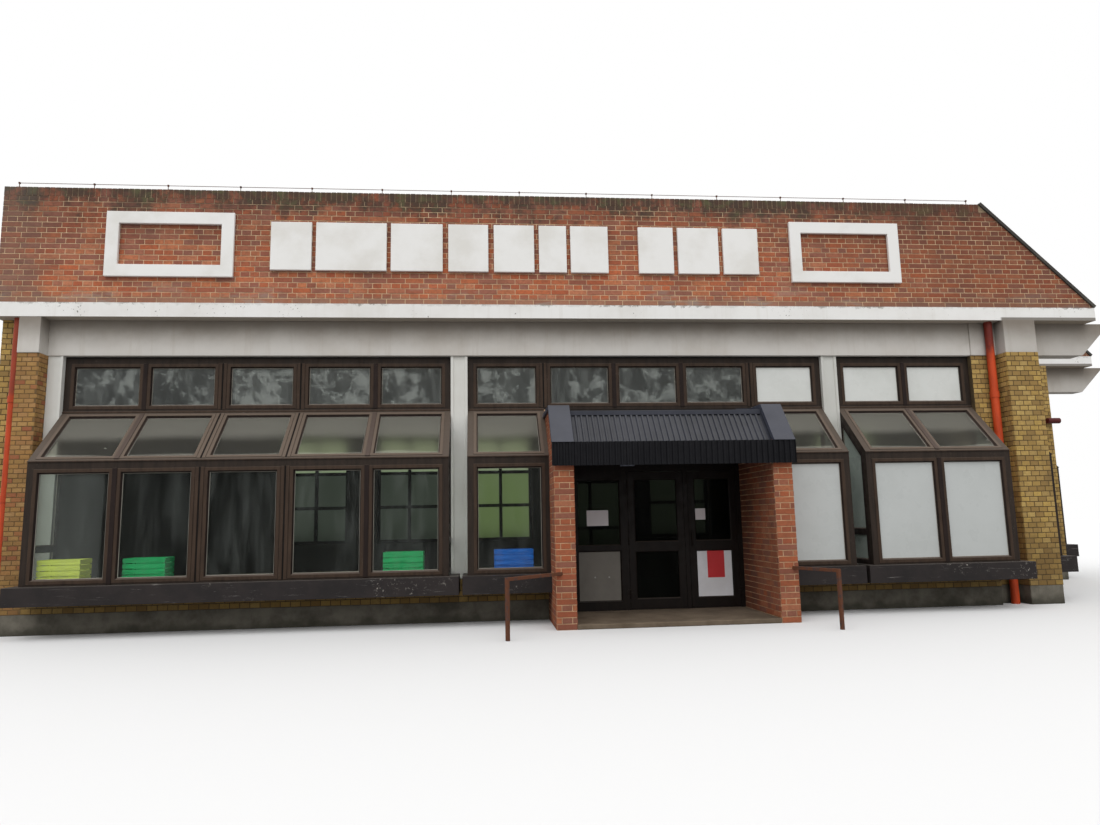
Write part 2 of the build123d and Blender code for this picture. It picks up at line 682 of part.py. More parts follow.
def canopy():
    width = PORCH_W + 2 * CANOPY_SIDE
    x0 = PORCH_X0 - CANOPY_SIDE
    sheet = Pos(x0, FRONT_Y, CANOPY_BOTTOM) * rib_sheet(width, CANOPY_TOP - CANOPY_BOTTOM)
    put("canopy_fascia", sheet)
    back = FRONT_Y + RIB_DEPTH + RIB_SHEET
    put("canopy_bearer", block(PORCH_X0, PORCH_X1, back, -PORCH_OUT, *BEARER_Z))

    inner = SCREEN_X1 - SCREEN_X0
    sheet_y = FRONT_Y + SHEET_DROP / sin(RAKE_ANGLE)
    slope_l = (SHEET_TOP_Z - CANOPY_TOP) / sin(RAKE_ANGLE)
    lean = Rot(degrees(RAKE_ANGLE) - 90, 0, 0)
    put("canopy_sheet", Pos(SCREEN_X0, sheet_y, CANOPY_TOP) * lean * rib_sheet(inner, slope_l))
    top_y = sheet_y + (SHEET_TOP_Z - CANOPY_TOP) / tan(RAKE_ANGLE)
    deck_y = top_y + (RIB_DEPTH + RIB_SHEET) / sin(RAKE_ANGLE)
    put("canopy_deck", block(SCREEN_X0, SCREEN_X1, deck_y, SCREEN_Y, SHEET_TOP_Z - CANOPY_DECK_T,
                             SHEET_TOP_Z))
    put("porch_soffit", block(SCREEN_X0, SCREEN_X1, -PORCH_OUT, SCREEN_Y, SOFFIT_Z,
                              SOFFIT_Z + SOFFIT_T))


# The entrance screen, laid out from the right jamb; the side light takes what is left
JAMB_X = SCREEN_X1 - RIGHT_JAMB
RIGHT_X = JAMB_X - LEAF_GAP - RIGHT_LEAF_W
MIDDLE_POST_X = RIGHT_X - LEAF_GAP - MIDDLE_POST
CENTRE_X = MIDDLE_POST_X - LEAF_GAP - CENTRE_LEAF_W
SIDE_LIGHT_X = SCREEN_X0 + SIDE_STILE
SIDE_LIGHT_END = CENTRE_X - LEAF_GAP - SIDE_POST
HEAD_BOTTOM = DOOR_HEAD + LEAF_GAP
LEAF_Z = FLOOR_Z + DOOR_BOTTOM_GAP


def knuckle(x, z, height, side):
    """Hinge barrel on the pivot line with its strap, which lies on side +1 or -1 of it."""
    barrel = Pos(x, SCREEN_Y - PIVOT_OUT, z + height / 2) * Cylinder(KNUCKLE_R, height)
    x0, x1 = sorted((x, x + side * STRAP_W))
    return barrel + block(x0, x1, SCREEN_Y - STRAP_T, SCREEN_Y, z, z + height)


def leaf_hinges(x, side):
    return fuse([knuckle(x, z, KNUCKLE_H, side) for z in HINGES_Z])


def frame_hinges(x, side):
    """A barrel below and above each of the leaf's."""
    step = KNUCKLE_H + KNUCKLE_GAP
    return fuse([knuckle(x, z + shift, KNUCKLE_H, side) for z in HINGES_Z
                 for shift in (-step, step)])


CENTRE_PIVOT = CENTRE_X - LEAF_GAP / 2
RIGHT_PIVOT = RIGHT_X + RIGHT_LEAF_W + LEAF_GAP / 2


def entrance_screen():
    back = SCREEN_Y + SCREEN_T
    put("screen_head", block(SCREEN_X0, SCREEN_X1, SCREEN_Y, back, HEAD_BOTTOM, SLOPE_TOP))
    put("screen_posts",
        block(MIDDLE_POST_X, MIDDLE_POST_X + MIDDLE_POST, SCREEN_Y, back, FLOOR_Z, HEAD_BOTTOM),
        block(JAMB_X, SCREEN_X1, SCREEN_Y, back, FLOOR_Z, HEAD_BOTTOM)
        + frame_hinges(RIGHT_PIVOT, 1))
    right = SIDE_LIGHT_END
    frame = block(SCREEN_X0, right + SIDE_POST, SCREEN_Y, back, FLOOR_Z, HEAD_BOTTOM)
    for name, low, high, thick in (("side_light_panel", *SIDE_PANEL_Z, PANEL_T),
                                   ("side_light_glass", *SIDE_GLASS_Z, GLASS_T)):
        frame -= block(SIDE_LIGHT_X, right, SCREEN_Y - CUT, back + CUT, low, high)
        y = SCREEN_Y + GLASS_SET
        put(name, block(SIDE_LIGHT_X, right, y, y + thick, low, high))
    put("side_light_frame", frame + frame_hinges(CENTRE_PIVOT, -1))


def leaf(x0, width):
    """A door leaf with an opening below and above its lock rail."""
    body = block(x0, x0 + width, SCREEN_Y, SCREEN_Y + LEAF_T, LEAF_Z, DOOR_HEAD)
    panes = []
    y = SCREEN_Y + (LEAF_T - GLASS_T) / 2
    for low, high in ((BOTTOM_RAIL_TOP, LOCK_RAIL[0]), (LOCK_RAIL[1], TOP_RAIL_Z)):
        left, right = x0 + STILE, x0 + width - STILE
        body -= block(left, right, SCREEN_Y - CUT, SCREEN_Y + LEAF_T + CUT, low, high)
        panes.append(block(left, right, y, y + GLASS_T, low, high))
    return body, panes


def doors():
    body, panes = leaf(CENTRE_X, CENTRE_LEAF_W)
    put("door_centre", body + leaf_hinges(CENTRE_PIVOT, 1))
    put("door_centre_glass", *panes)
    body, panes = leaf(RIGHT_X, RIGHT_LEAF_W)
    x = RIGHT_X + HANDLE_X
    y = SCREEN_Y - HANDLE_OUT + HANDLE_R
    low, high = HANDLE_Z
    body += Pos(x, y, (low + high) / 2) * Cylinder(HANDLE_R, high - low)
    for z in (low + 2 * HANDLE_R, high - 2 * HANDLE_R):
        body += block(x - HANDLE_R / 2, x + HANDLE_R / 2, y, SCREEN_Y, z - HANDLE_R, z + HANDLE_R)
    put("door_right", body + leaf_hinges(RIGHT_PIVOT, -1))
    put("door_right_panel", panes[0])
    put("door_right_glass", panes[1])


def pipes():
    """Round downpipes with socket collars, held to the wall by brackets."""
    for name, x in (("downpipe_left", LEFT_PIER_X - COLLAR_R - PIPE_GAP),
                    ("downpipe_right", CORNER_X - PIPE_TO_PIER)):
        pipe = Pos(x, PIPE_Y, SLAB_Z / 2) * Cylinder(PIPE_R, SLAB_Z)
        for z in COLLARS_Z:
            pipe += Pos(x, PIPE_Y, z) * Cylinder(COLLAR_R, COLLAR_H)
            low = z - COLLAR_H / 2 - BRACKET_H
            pipe += block(x - PIPE_R / 2, x + PIPE_R / 2, PIPE_Y, RECESS_Y, low, low + BRACKET_H)
        put(name, pipe)


def handrails():
    """A square bar from the end of each porch wall to a post that stands out from it."""
    half = RAIL_BAR / 2
    bars = []
    for wall_x, post_x in ((PORCH_X0 + RAIL_IN, PORCH_X0 - RAIL_LEFT_SPREAD),
                           (PORCH_X1 - RAIL_IN, PORCH_X1 + RAIL_RIGHT_SPREAD)):
        run = wall_x - post_x
        rail = block(-half, half, -half, half, 0, RAIL_Z + half)
        rail += block(half, hypot(run, RAIL_OUT) + RAIL_BAR, -half, half,
                      RAIL_Z - half, RAIL_Z + half)
        turn = degrees(atan2(RAIL_OUT, run))
        rail = Pos(post_x, -PORCH_OUT - RAIL_OUT, 0) * Rot(0, 0, turn) * rail
        bars.append(rail - block(PORCH_X0, PORCH_X1, -PORCH_OUT, 0, 0, HEAD_Z))
    put("handrails", *bars)


def crate(x, y, z):
    width, depth, height = CRATE
    box = block(x, x + width, y, y + depth, z, z + height)
    box -= block(x + CRATE_WALL, x + width - CRATE_WALL, y + CRATE_WALL, y + depth - CRATE_WALL,
                 z + CRATE_WALL, z + height + CUT)
    return box


def crates():
    y = BAY_Y + FRAME_T + CRATE_FRONT_GAP
    first, second, *_, last = [BAY_1_X + start for start in pane_starts(GAPS_1)]
    for x, shift in zip((first, second, last, BAY_2_X + END_FRAME), CRATE_SHIFTS):
        put("window_crates", crate(x + shift, y, SILL_TOP + SILL_BOARD_T))


def build():
    front_bays()
    side_bays()
    base_and_plinth()
    piers()
    beams()
    walls()
    roof()
    lightning_wire()
    floors()
    porch()
    canopy()
    entrance_screen()
    doors()
    pipes()
    handrails()
    crates()


build()
os.makedirs("parts", exist_ok=True)
for name, shapes in parts.items():
    place = Pos(-ORIGIN[0], -ORIGIN[1], 0)
    export_step(Compound(children=[place * shape for shape in shapes]), f"parts/{name}.step")
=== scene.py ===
"""Looks of a small brick railway station: brickwork laid brick by brick, painted
concrete, dusty glazing in brown frames, ribbed metal and worn paint.

Lengths are metres in the frame's own axes: +X along the street front, +Y into the
building, +Z up. Colours are picked in sRGB from 0 to 255.
"""
import math
import random

import bmesh
import bpy
from mathutils import Matrix, Vector


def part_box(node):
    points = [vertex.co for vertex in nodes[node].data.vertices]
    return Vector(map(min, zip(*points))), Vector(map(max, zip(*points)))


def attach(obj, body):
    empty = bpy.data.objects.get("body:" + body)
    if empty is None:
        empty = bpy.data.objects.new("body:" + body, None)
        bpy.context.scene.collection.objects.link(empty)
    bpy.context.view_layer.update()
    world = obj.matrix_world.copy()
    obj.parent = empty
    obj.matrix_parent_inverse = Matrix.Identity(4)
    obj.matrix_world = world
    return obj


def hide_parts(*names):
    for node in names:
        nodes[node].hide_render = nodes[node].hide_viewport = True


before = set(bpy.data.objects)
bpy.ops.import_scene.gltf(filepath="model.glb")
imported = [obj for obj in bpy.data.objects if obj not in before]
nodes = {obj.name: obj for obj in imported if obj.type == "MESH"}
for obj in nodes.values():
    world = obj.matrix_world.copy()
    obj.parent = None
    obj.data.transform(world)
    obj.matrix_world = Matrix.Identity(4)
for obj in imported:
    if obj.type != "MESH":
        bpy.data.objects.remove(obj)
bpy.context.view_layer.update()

BUILDING = "building"
NEAR = 0.001

# Brickwork
COURSE = 0.075
THIN_COURSE = 0.0625
PARAPET_COURSES = 20
STRETCHER = 0.260
HEADER = 0.130
JOINT = 0.010
COPING_H = 0.120
BRICK_PROUD = 0.005
BRICK_RIM = 0.0025
BRICK_ROOT = 0.003
BRICK_UNEVEN = (-0.0012, 0.0008)
UPRIGHT_UNEVEN = (-0.002, 0.001)
COPING_CLEAR = 0.003
FACE_BACK = 0.1
SMALLEST_CUT = 0.018

# Windows: how far the glass lies behind its frame's face, and the trims on that face
GLASS_SET = 0.034
CHEEK_SET = 0.026
TRIM_ROOT = 0.004
TRIM_RIM = 0.002
SASH_W = 0.046
SASH_PROUD = 0.006
BEAD_W = 0.012
GASKET_W = 0.005
STRIP_PROUD = 0.007
STRIP_GAP = 0.006
STRIP_DOWN, STRIP_UP = 0.058, 0.052
GROOVE_HALF = 0.009
GROOVE_LIP = 0.011
COVER_W = 0.060
COVER_PROUD = 0.012
CHEEK_WIDEST = 0.60
MULLION_LEAST, WIDE_MULLION_LEAST, MULLION_MOST = 0.09, 0.18, 0.30

# Heights between which panes of one kind lie
SLOPE_FOOT_Z = 2.15
UPPER_FOOT_Z = 2.95
UPPER_TOP_Z = 4.0
REAR_TRANSOM_Z = 2.35

# The camera that took the photograph
EYE = Vector((-2.458, -14.109, 1.350))
YAW, PITCH, ROLL = 0.0918, 0.1389, -0.0198
FOCAL_PX = 762.27
PHOTO_W = 1100
SENSOR = 36.0


# Finishes

def srgb(red, green, blue):
    """A colour picked in sRGB, as the linear values that sockets take."""
    def linear(value):
        share = value / 255
        return share / 12.92 if share <= 0.04045 else ((share + 0.055) / 1.055) ** 2.4
    return (linear(red), linear(green), linear(blue), 1.0)


class Nodes:
    """Short calls for the nodes of one tree."""

    def __init__(self, tree):
        self.tree = tree

    def node(self, kind, **settings):
        made = self.tree.nodes.new(kind)
        for key, value in settings.items():
            setattr(made, key, value)
        return made

    def feed(self, socket, value):
        """Links an output to a socket, or sets a number or an sRGB colour on it."""
        if isinstance(value, bpy.types.NodeSocket):
            self.tree.links.new(value, socket)
        else:
            socket.default_value = srgb(*value) if isinstance(value, tuple) else value

    def span(self, value, low, high, out_low=0.0, out_high=1.0, kind="SMOOTHSTEP"):
        """Takes low..high to out_low..out_high, with soft ends and no overshoot."""
        made = self.node("ShaderNodeMapRange", interpolation_type=kind)
        self.feed(made.inputs["Value"], value)
        for name, number in (("From Min", low), ("From Max", high),
                             ("To Min", out_low), ("To Max", out_high)):
            made.inputs[name].default_value = number
        return made.outputs["Result"]

    def math(self, operation, first, second=0.0):
        made = self.node("ShaderNodeMath", operation=operation)
        self.feed(made.inputs[0], first)
        self.feed(made.inputs[1], second)
        return made.outputs[0]

    def times(self, *values):
        result = values[0]
        for value in values[1:]:
            result = self.math("MULTIPLY", result, value)
        return result

    def mix(self, factor, first, second):
        made = self.node("ShaderNodeMix", data_type="RGBA")
        self.feed(made.inputs[0], factor)
        self.feed(made.inputs[6], first)
        self.feed(made.inputs[7], second)
        return made.outputs[2]

    def axis(self, letter, vector):
        made = self.node("ShaderNodeSeparateXYZ")
        self.feed(made.inputs[0], vector)
        return made.outputs[letter]


class Finish(Nodes):
    """A Principled material: a base colour, with shades laid over it one by one."""

    def __init__(self, name, color=None, rough=0.6, gloss=0.25):
        self.material = bpy.data.materials.new(name)
        self.material.use_nodes = True
        super().__init__(self.material.node_tree)
        self.shader = self.tree.nodes["Principled BSDF"]
        self.place = self.node("ShaderNodeTexCoord").outputs["Object"]
        self.color = color
        self.normal = None
        self.put("Roughness", rough)
        self.put("Specular IOR Level", gloss)

    def put(self, name, value):
        self.feed(self.shader.inputs[name], value)

    def along(self, letter):
        return self.axis(letter, self.place)

    def grain(self, kind, stretch, **settings):
        """A texture node at the object's own place, with each axis multiplied if wanted."""
        made = self.node(kind)
        place = self.place
        if stretch:
            mapping = self.node("ShaderNodeMapping")
            self.feed(mapping.inputs["Vector"], place)
            mapping.inputs["Scale"].default_value = stretch
            place = mapping.outputs["Vector"]
        self.feed(made.inputs["Vector"], place)
        for name, value in settings.items():
            made.inputs[name].default_value = value
        return made

    def noise(self, scale, detail=3.0, rough=0.5, stretch=None, warp=0.0):
        return self.grain("ShaderNodeTexNoise", stretch, Scale=scale, Detail=detail,
                          Roughness=rough, Distortion=warp).outputs["Fac"]

    def cells(self, scale, stretch=None):
        return self.grain("ShaderNodeTexVoronoi", stretch, Scale=scale).outputs["Distance"]

    def cover(self, share, shade):
        """Lays a shade over the colour by a share."""
        self.color = self.mix(share, self.color, shade)

    def over(self, shade, value, low, high, start=0.0, end=1.0):
        """Lays a shade over the colour, by start..end where a value goes from low to high."""
        self.cover(self.span(value, low, high, start, end), shade)

    def ramp(self, value, colors, steps=False):
        """Colours at even places from 0 to 1."""
        made = self.node("ShaderNodeValToRGB")
        ramp = made.color_ramp
        ramp.interpolation = "CONSTANT" if steps else "LINEAR"
        for number, color in enumerate(colors):
            place = number / len(colors)
            while len(ramp.elements) <= number:
                ramp.elements.new(place)
            ramp.elements[number].position = place
            ramp.elements[number].color = srgb(*color)
        self.feed(made.inputs["Fac"], value)
        return made.outputs["Color"]

    def facing_up(self):
        """How far the surface faces up, from -1 to 1."""
        return self.axis("Z", self.node("ShaderNodeNewGeometry").outputs["Normal"])

    def ragged(self, letter, down, up, *grain):
        """The place along an axis, moved down and up by the grain of a noise."""
        wander = self.span(self.noise(*grain), 0.2, 0.8, down, up)
        return self.math("ADD", self.along(letter), wander)

    def shade(self, shades):
        """Broad ragged shades: (axis letter, start, place of the full amount, amount, colour)."""
        for letter, start, full, amount, shade in shades:
            ends = (start, full, 0.0, amount) if start < full else (full, start, amount, 0.0)
            self.over(shade, self.ragged(letter, -0.25, 0.25, 2.2, 5, 0.7), *ends)

    def shade_plaster_rooms(self):
        """Plaster on every face inside the rooms, darkened as painted shade of the dim rooms."""
        inside = None
        for low, high in ROOMS:
            room = None
            for letter, start, end in zip("XYZ", low, high):
                value = self.along(letter)
                part = self.times(self.math("GREATER_THAN", value, start),
                                  self.math("LESS_THAN", value, end))
                room = part if room is None else self.times(room, part)
            inside = room if inside is None else self.math("MAXIMUM", inside, room)
        self.cover(inside, SHADED_PLASTER)

    def tone(self):
        """The number from 0 to 1 that each brick was given."""
        return self.node("ShaderNodeAttribute", attribute_name="tone").outputs["Fac"]

    def patches(self, shade, first, second):
        """Lays a shade over the colour where two spans, given as their arguments, are strong."""
        self.cover(self.times(self.span(*first), self.span(*second)), shade)

    def uneven(self, value, low, high):
        self.put("Roughness", self.span(value, 0.3, 0.7, low, high))

    def bump(self, height, depth, strength=1.0):
        made = self.node("ShaderNodeBump")
        made.inputs["Distance"].default_value = depth
        made.inputs["Strength"].default_value = strength
        self.feed(made.inputs["Height"], height)
        if self.normal is not None:
            self.feed(made.inputs["Normal"], self.normal)
        self.normal = made.outputs["Normal"]
        self.put("Normal", self.normal)

    def done(self):
        self.put("Base Color", self.color)
        return self.material


# Inside plaster, darkened as painted shade of the dim rooms
SHADED_PLASTER = (66, 63, 57)
TOP_DIRT = (84, 58, 50)
TOP_SOOT = (66, 58, 50)
MOSS = (96, 98, 66)
BLOOM_FOOT = (138, 118, 102)
BLOOM = (158, 148, 138)


def brick_finish(name, tones, grime, speck, top_z=None, bloom_z=None, shades=()):
    """Fired brick: a tone for each brick, mottling, pits, dirt towards the top and shades."""
    made = Finish(name, rough=0.88)
    made.color = made.ramp(made.tone(), tones, steps=True)
    made.over(speck, made.noise(26, 5, 0.62), 0.35, 0.75, 0.0, 0.55)
    made.over(grime, made.noise(1.3, 4, 0.6), 0.48, 0.72, 0.0, 0.30)
    if top_z is not None:
        ragged = made.ragged("Z", -0.45, 0.35, 3.2, 5, 0.7)
        made.over(TOP_DIRT, ragged, top_z - 1.4, top_z - 0.1, 0.0, 0.50)
        made.over(TOP_SOOT, ragged, top_z - 0.38, top_z + 0.06, 0.0, 0.88)
        made.patches(MOSS, (ragged, top_z - 0.12, top_z + 0.1),
                     (made.noise(6, 4), 0.45, 0.65, 0, 0.6))
    if bloom_z is not None:
        made.over(BLOOM_FOOT, made.along("Z"), bloom_z + 0.05, bloom_z + 0.15, 0.50, 0.0)
        low = made.span(made.along("Z"), bloom_z, bloom_z + 0.42, 1.0, 0.0)
        patch = made.span(made.noise(1.9, 4, 0.65, (0.7, 0.7, 2.6)), 0.52, 0.68)
        made.cover(made.times(low, patch, 0.62), BLOOM)
    made.shade(shades)
    pits = made.cells(95)
    made.over(grime, pits, 0.10, 0.30, 0.35, 0.0)
    made.bump(made.noise(60, 6, 0.7), 0.004, 0.7)
    made.bump(pits, 0.002, 0.5)
    return made.done()


def mortar_finish(name, mortar, dirt, inner=None, shades=()):
    """Sanded mortar outside, and plaster darkened as painted shade where a wall faces the rooms.

    Inner gives the half width and the height above which the porch walls' faces get painted shade,
    and that shade's colour.
    """
    made = Finish(name, mortar, 0.95)
    made.over(dirt, made.noise(7, 5, 0.6), 0.35, 0.7)
    made.over(dirt, made.noise(160, 2), 0.3, 0.7, 0.0, 0.3)
    if inner is not None:
        # Painted shade on the porch walls' faces above the canopy sheet
        reach, foot, inner_shade_color = inner
        within = made.math("LESS_THAN", made.math("ABSOLUTE", made.along("X")), reach)
        above = made.math("GREATER_THAN", made.along("Z"), foot)
        made.cover(made.times(within, above), inner_shade_color)
    made.shade(shades)
    made.shade_plaster_rooms()
    made.bump(made.noise(140, 4, 0.7), 0.003, 0.6)
    return made.done()


# Brown under the slab: soot, and painted shade of the slab's overhang
SOOT_AND_SHADE = (112, 101, 88)
WORN_EDGE = (120, 114, 104)
# Painted shade on faces that look down
SOFFIT_SHADE = (158, 146, 130)


def paint_finish(name, clean, stain, streaks, chips=None, edge_z=None, soot_and_shade_z=None, under=None,
                 shades=()):
    """Painted concrete: faint rain streaks, patches, pinholes and worn places, and where asked,
    soot with painted shade towards the slab and painted shade beneath.

    Under gives the top of a lower lip darkened by dirt and painted shade, the x it starts from,
    and its colour; with it, faces that look down get painted shade too.
    """
    made = Finish(name, clean, 0.82)
    made.over(stain, made.noise(0.9, 5, 0.6), 0.42, 0.70, 0.0, 0.35)
    made.over(stain, made.noise(3.0, 5, 0.65, (3.2, 3.2, 0.22)), 0.5, 0.8, 0.0, streaks)
    # Darker towards the slab: soot, and painted shade of its overhang
    if soot_and_shade_z is not None:
        made.over(SOOT_AND_SHADE, made.ragged("Z", -0.04, 0.04, 2.5, 4, 0.6), *soot_and_shade_z, 0.0, 0.80)
    if edge_z is not None:
        ragged = made.ragged("Z", -0.05, 0.035, 11, 5, 0.7)
        made.patches(WORN_EDGE, (ragged, edge_z - 0.035, edge_z),
                     (made.noise(1.5, 4), 0.45, 0.6, 0.2, 0.7))
    if chips is not None:
        made.patches(chips, (made.noise(34, 3), 0.66, 0.72), (made.noise(1.7, 3), 0.52, 0.62))
    made.shade(shades)
    if under is not None:
        low, start, shade = under
        made.patches(shade, (made.along("Z"), low, low + 0.012, 0.8, 0.0),
                     (made.along("X"), start - 0.02, start + 0.02))
        # Faces that look down get painted shade
        made.over(SOFFIT_SHADE, made.facing_up(), -0.7, -0.4, 0.85, 0.0)
    made.shade_plaster_rooms()
    made.bump(made.noise(2.2, 4, 0.5), 0.006, 0.35)
    made.bump(made.noise(120, 4, 0.7), 0.0015, 0.5)
    return made.done()


DAMP = (52, 52, 42)


def concrete_finish(name, light, dark, damp_z=None):
    """Bare concrete with form marks, air holes and a damp foot."""
    made = Finish(name, light, 0.9)
    made.over(dark, made.noise(2.4, 6, 0.66), 0.32, 0.72)
    made.over(dark, made.noise(4, 5, 0.7, (3, 3, 0.3)), 0.55, 0.8, 0.0, 0.55)
    if damp_z is not None:
        made.over(DAMP, made.ragged("Z", -0.06, 0.06, 5, 4), 0.0, damp_z, 0.65, 0.0)
    holes = made.cells(42)
    made.over(dark, holes, 0.05, 0.12, 0.5, 0.0)
    made.bump(made.noise(18, 6, 0.6), 0.004, 0.6)
    made.bump(holes, 0.002, 0.4)
    return made.done()


def frame_finish(name, face, shade, dust, rough=0.42):
    """Old anodised or painted frames: duller and paler where they look up."""
    made = Finish(name, face, rough, gloss=0.12)
    made.over(shade, made.noise(5, 5, 0.6, (4, 4, 0.5)), 0.35, 0.75)
    made.over(dust, made.facing_up(), 0.15, 0.75, 0.0, 0.75)
    made.patches(dust, (made.noise(48, 4, 0.7), 0.60, 0.74, 0.0, 0.6), (made.noise(2, 3), 0.4, 0.6))
    made.uneven(made.noise(9, 4), rough - 0.08, rough + 0.2)
    made.bump(made.noise(70, 4, 0.6), 0.0008, 0.5)
    return made.done()


def glass_finish(name, tint, dust, ior=1.08, veil=0.014, dust_and_reflection_clouds=0.0, bands=None, haze=None,
                 soft=0.0, shades=()):
    """Window glass with a film of dust in runs or in bands up a slope, and clouds that are partly
    dust and partly painted reflection.

    Bands gives the slope's foot and the heights where its dust begins and is full. Haze, partly
    dust and partly painted reflection, gives the x up to which it is full, the x where it ends, and
    its amount.
    """
    made = Finish(name, tint, gloss=0.5)
    made.put("IOR", ior)
    runs = made.noise(2.6, 5, 0.65, (2.4, 2.4, 0.55))
    dirt = made.span(runs, 0.38, 0.80, veil * 0.35, veil * 2.2)
    # Haze: partly dust, partly painted reflection
    if haze is not None:
        start, end, amount = haze
        dirt = made.math("ADD", dirt, made.span(made.along("X"), start, end, amount, 0.0))
    films = []
    # Clouds: partly dust, partly painted reflection
    if dust_and_reflection_clouds:
        films.append(made.span(made.noise(3.4, 9, 0.72, None, 0.25), 0.46, 0.62, 0.0, dust_and_reflection_clouds))
    if bands is not None:
        foot, low, high = bands
        ragged = made.ragged("Z", -0.03, 0.03, 1.3, 3, 0.5, (0.5, 1, 1))
        films += [made.span(ragged, low, high, 0.022, 0.105),
                  made.span(ragged, foot, foot + 0.03, 0.12, 0.0),
                  made.span(made.cells(1.9, (0.8, 1.6, 1.6)), 0.020, 0.035, 0.6, 0.0)]
    for film in films:
        dirt = made.math("MAXIMUM", dirt, film)
    made.shade(shades)
    # The film laid on here is dust, with painted reflection where haze or clouds are given
    made.cover(dirt, dust)
    made.put("Transmission Weight", made.math("SUBTRACT", 1.0, dirt))
    made.put("Roughness", made.span(dirt, 0.10, 0.7, soft, 0.5))
    return made.done()


GRIT = (104, 102, 96)


def sheet_metal_finish(name, face, worn, gloss=0.2):
    """Coated steel sheet: faint dull patches, dust in the hollows and light scuffs."""
    made = Finish(name, face, 0.45, gloss)
    made.over(worn, made.noise(2.2, 5, 0.65), 0.35, 0.75)
    made.over(GRIT, made.facing_up(), 0.2, 0.8, 0.0, 0.28)
    made.over(GRIT, made.noise(15, 5, 0.75, (0.5, 1, 3)), 0.62, 0.78, 0.0, 0.4)
    made.uneven(made.noise(6, 4), 0.35, 0.63)
    made.bump(made.noise(3, 3), 0.002, 0.4)
    made.bump(made.noise(90, 3, 0.6), 0.0006, 0.5)
    return made.done()


def sill_finish():
    """Dark coated sill, scratched and rubbed pale along its edges and ends."""
    made = Finish("sill_coating", (44, 38, 37), 0.55)
    made.over((33, 29, 29), made.noise(3, 5, 0.6), 0.35, 0.7)
    made.over((92, 86, 80), made.facing_up(), 0.3, 0.8, 0.0, 0.5)
    scratch = made.noise(7, 6, 0.8, (0.35, 0.35, 5.0), 0.6)
    made.over((158, 154, 150), scratch, 0.60, 0.72, 0.0, 0.7)
    made.patches((176, 170, 162), (made.noise(22, 5, 0.8), 0.58, 0.66),
                 (made.noise(1.1, 3), 0.50, 0.62))
    made.bump(made.noise(45, 5, 0.7), 0.0012, 0.6)
    return made.done()


def pipe_finish(name, shades):
    """Faded orange-red paint on a steel pipe, browner high up and dirty in long runs."""
    made = Finish(name, (204, 76, 34), 0.55)
    made.over((166, 60, 28), made.noise(4, 5, 0.6, (2, 2, 0.4)), 0.35, 0.7)
    made.shade(shades)
    made.over((92, 48, 32), made.noise(6, 5, 0.75, (2.5, 2.5, 0.3)), 0.58, 0.78, 0.0, 0.55)
    made.over((196, 150, 122), made.noise(50, 4, 0.7), 0.66, 0.74, 0.0, 0.6)
    made.bump(made.noise(35, 4, 0.6), 0.0012, 0.5)
    return made.done()


def rust_finish():
    """Rusted bar with the last flakes of brown paint."""
    made = Finish("rusted_bar", rough=0.85)
    made.color = made.ramp(made.noise(28, 6, 0.75),
                           [(50, 32, 26), (78, 48, 36), (104, 64, 44), (70, 46, 38)])
    made.over((78, 60, 56), made.noise(9, 5, 0.7), 0.50, 0.60)
    made.bump(made.noise(60, 6, 0.75), 0.002, 0.8)
    return made.done()


SEAM = 1.0


def felt_finish(name, face, dark):
    """Roofing felt: mineral grit, lap seams at even distances, and pale dried puddles."""
    made = Finish(name, face, 0.93)
    made.over(dark, made.noise(1.1, 5, 0.6), 0.35, 0.7)
    made.over((112, 108, 100), made.noise(0.55, 4, 0.55), 0.55, 0.66, 0.0, 0.5)
    lap = made.math("PINGPONG", made.along("X"), SEAM / 2)
    made.cover(made.times(made.span(lap, 0.006, 0.016, 1.0, 0.0), 0.7), (34, 32, 31))
    made.over((120, 116, 108), made.noise(300, 2), 0.35, 0.7, 0.0, 0.35)
    made.bump(made.span(lap, 0.0, 0.03), 0.004, 0.7)
    made.bump(made.noise(260, 3), 0.001, 0.7)
    return made.done()


def wood_finish(name, face, dark):
    """Painted or stained boards: grain along x and a little wear."""
    made = Finish(name, face, 0.7)
    grain = made.noise(9, 6, 0.65, (0.5, 5, 5), 0.4)
    made.over(dark, grain, 0.35, 0.7)
    made.over(dark, made.noise(24, 5, 0.75), 0.62, 0.74, 0.0, 0.5)
    made.bump(grain, 0.0015, 0.6)
    return made.done()


def plain_finish(name, face, worn, rough=0.5, shades=()):
    """Sheet, film or plastic: soft unevenness and a few marks."""
    made = Finish(name, face, rough)
    made.over(worn, made.noise(1.8, 5, 0.6), 0.38, 0.72, 0.0, 0.7)
    made.shade(shades)
    made.over(worn, made.noise(40, 4, 0.7), 0.66, 0.78, 0.0, 0.5)
    made.uneven(made.noise(5, 3), rough - 0.08, rough + 0.12)
    made.bump(made.noise(40, 3, 0.6), 0.0006, 0.4)
    return made.done()


# Shapes

class Sheet:
    """A flat working plane: u and v lie in it, and the third axis looks outwards."""

    def __init__(self, origin, u, v):
        self.origin = Vector(origin)
        self.u = Vector(u).normalized()
        self.v = Vector(v).normalized()
        self.out = self.u.cross(self.v)

    def at(self, u, v, out=0.0):
        return self.origin + self.u * u + self.v * v + self.out * out

    def flat(self, point):
        gap = Vector(point) - self.origin
        return (gap.dot(self.u), gap.dot(self.v))


STREET = ((1, 0, 0), (0, 0, 1))
RIGHT = ((0, 1, 0), (0, 0, 1))
REAR = ((-1, 0, 0), (0, 0, 1))
LEFT = ((0, -1, 0), (0, 0, 1))
TOP = ((1, 0, 0), (0, 1, 0))


def rect(u0, u1, v0, v1):
    return [(u0, v0), (u1, v0), (u1, v1), (u0, v1)]


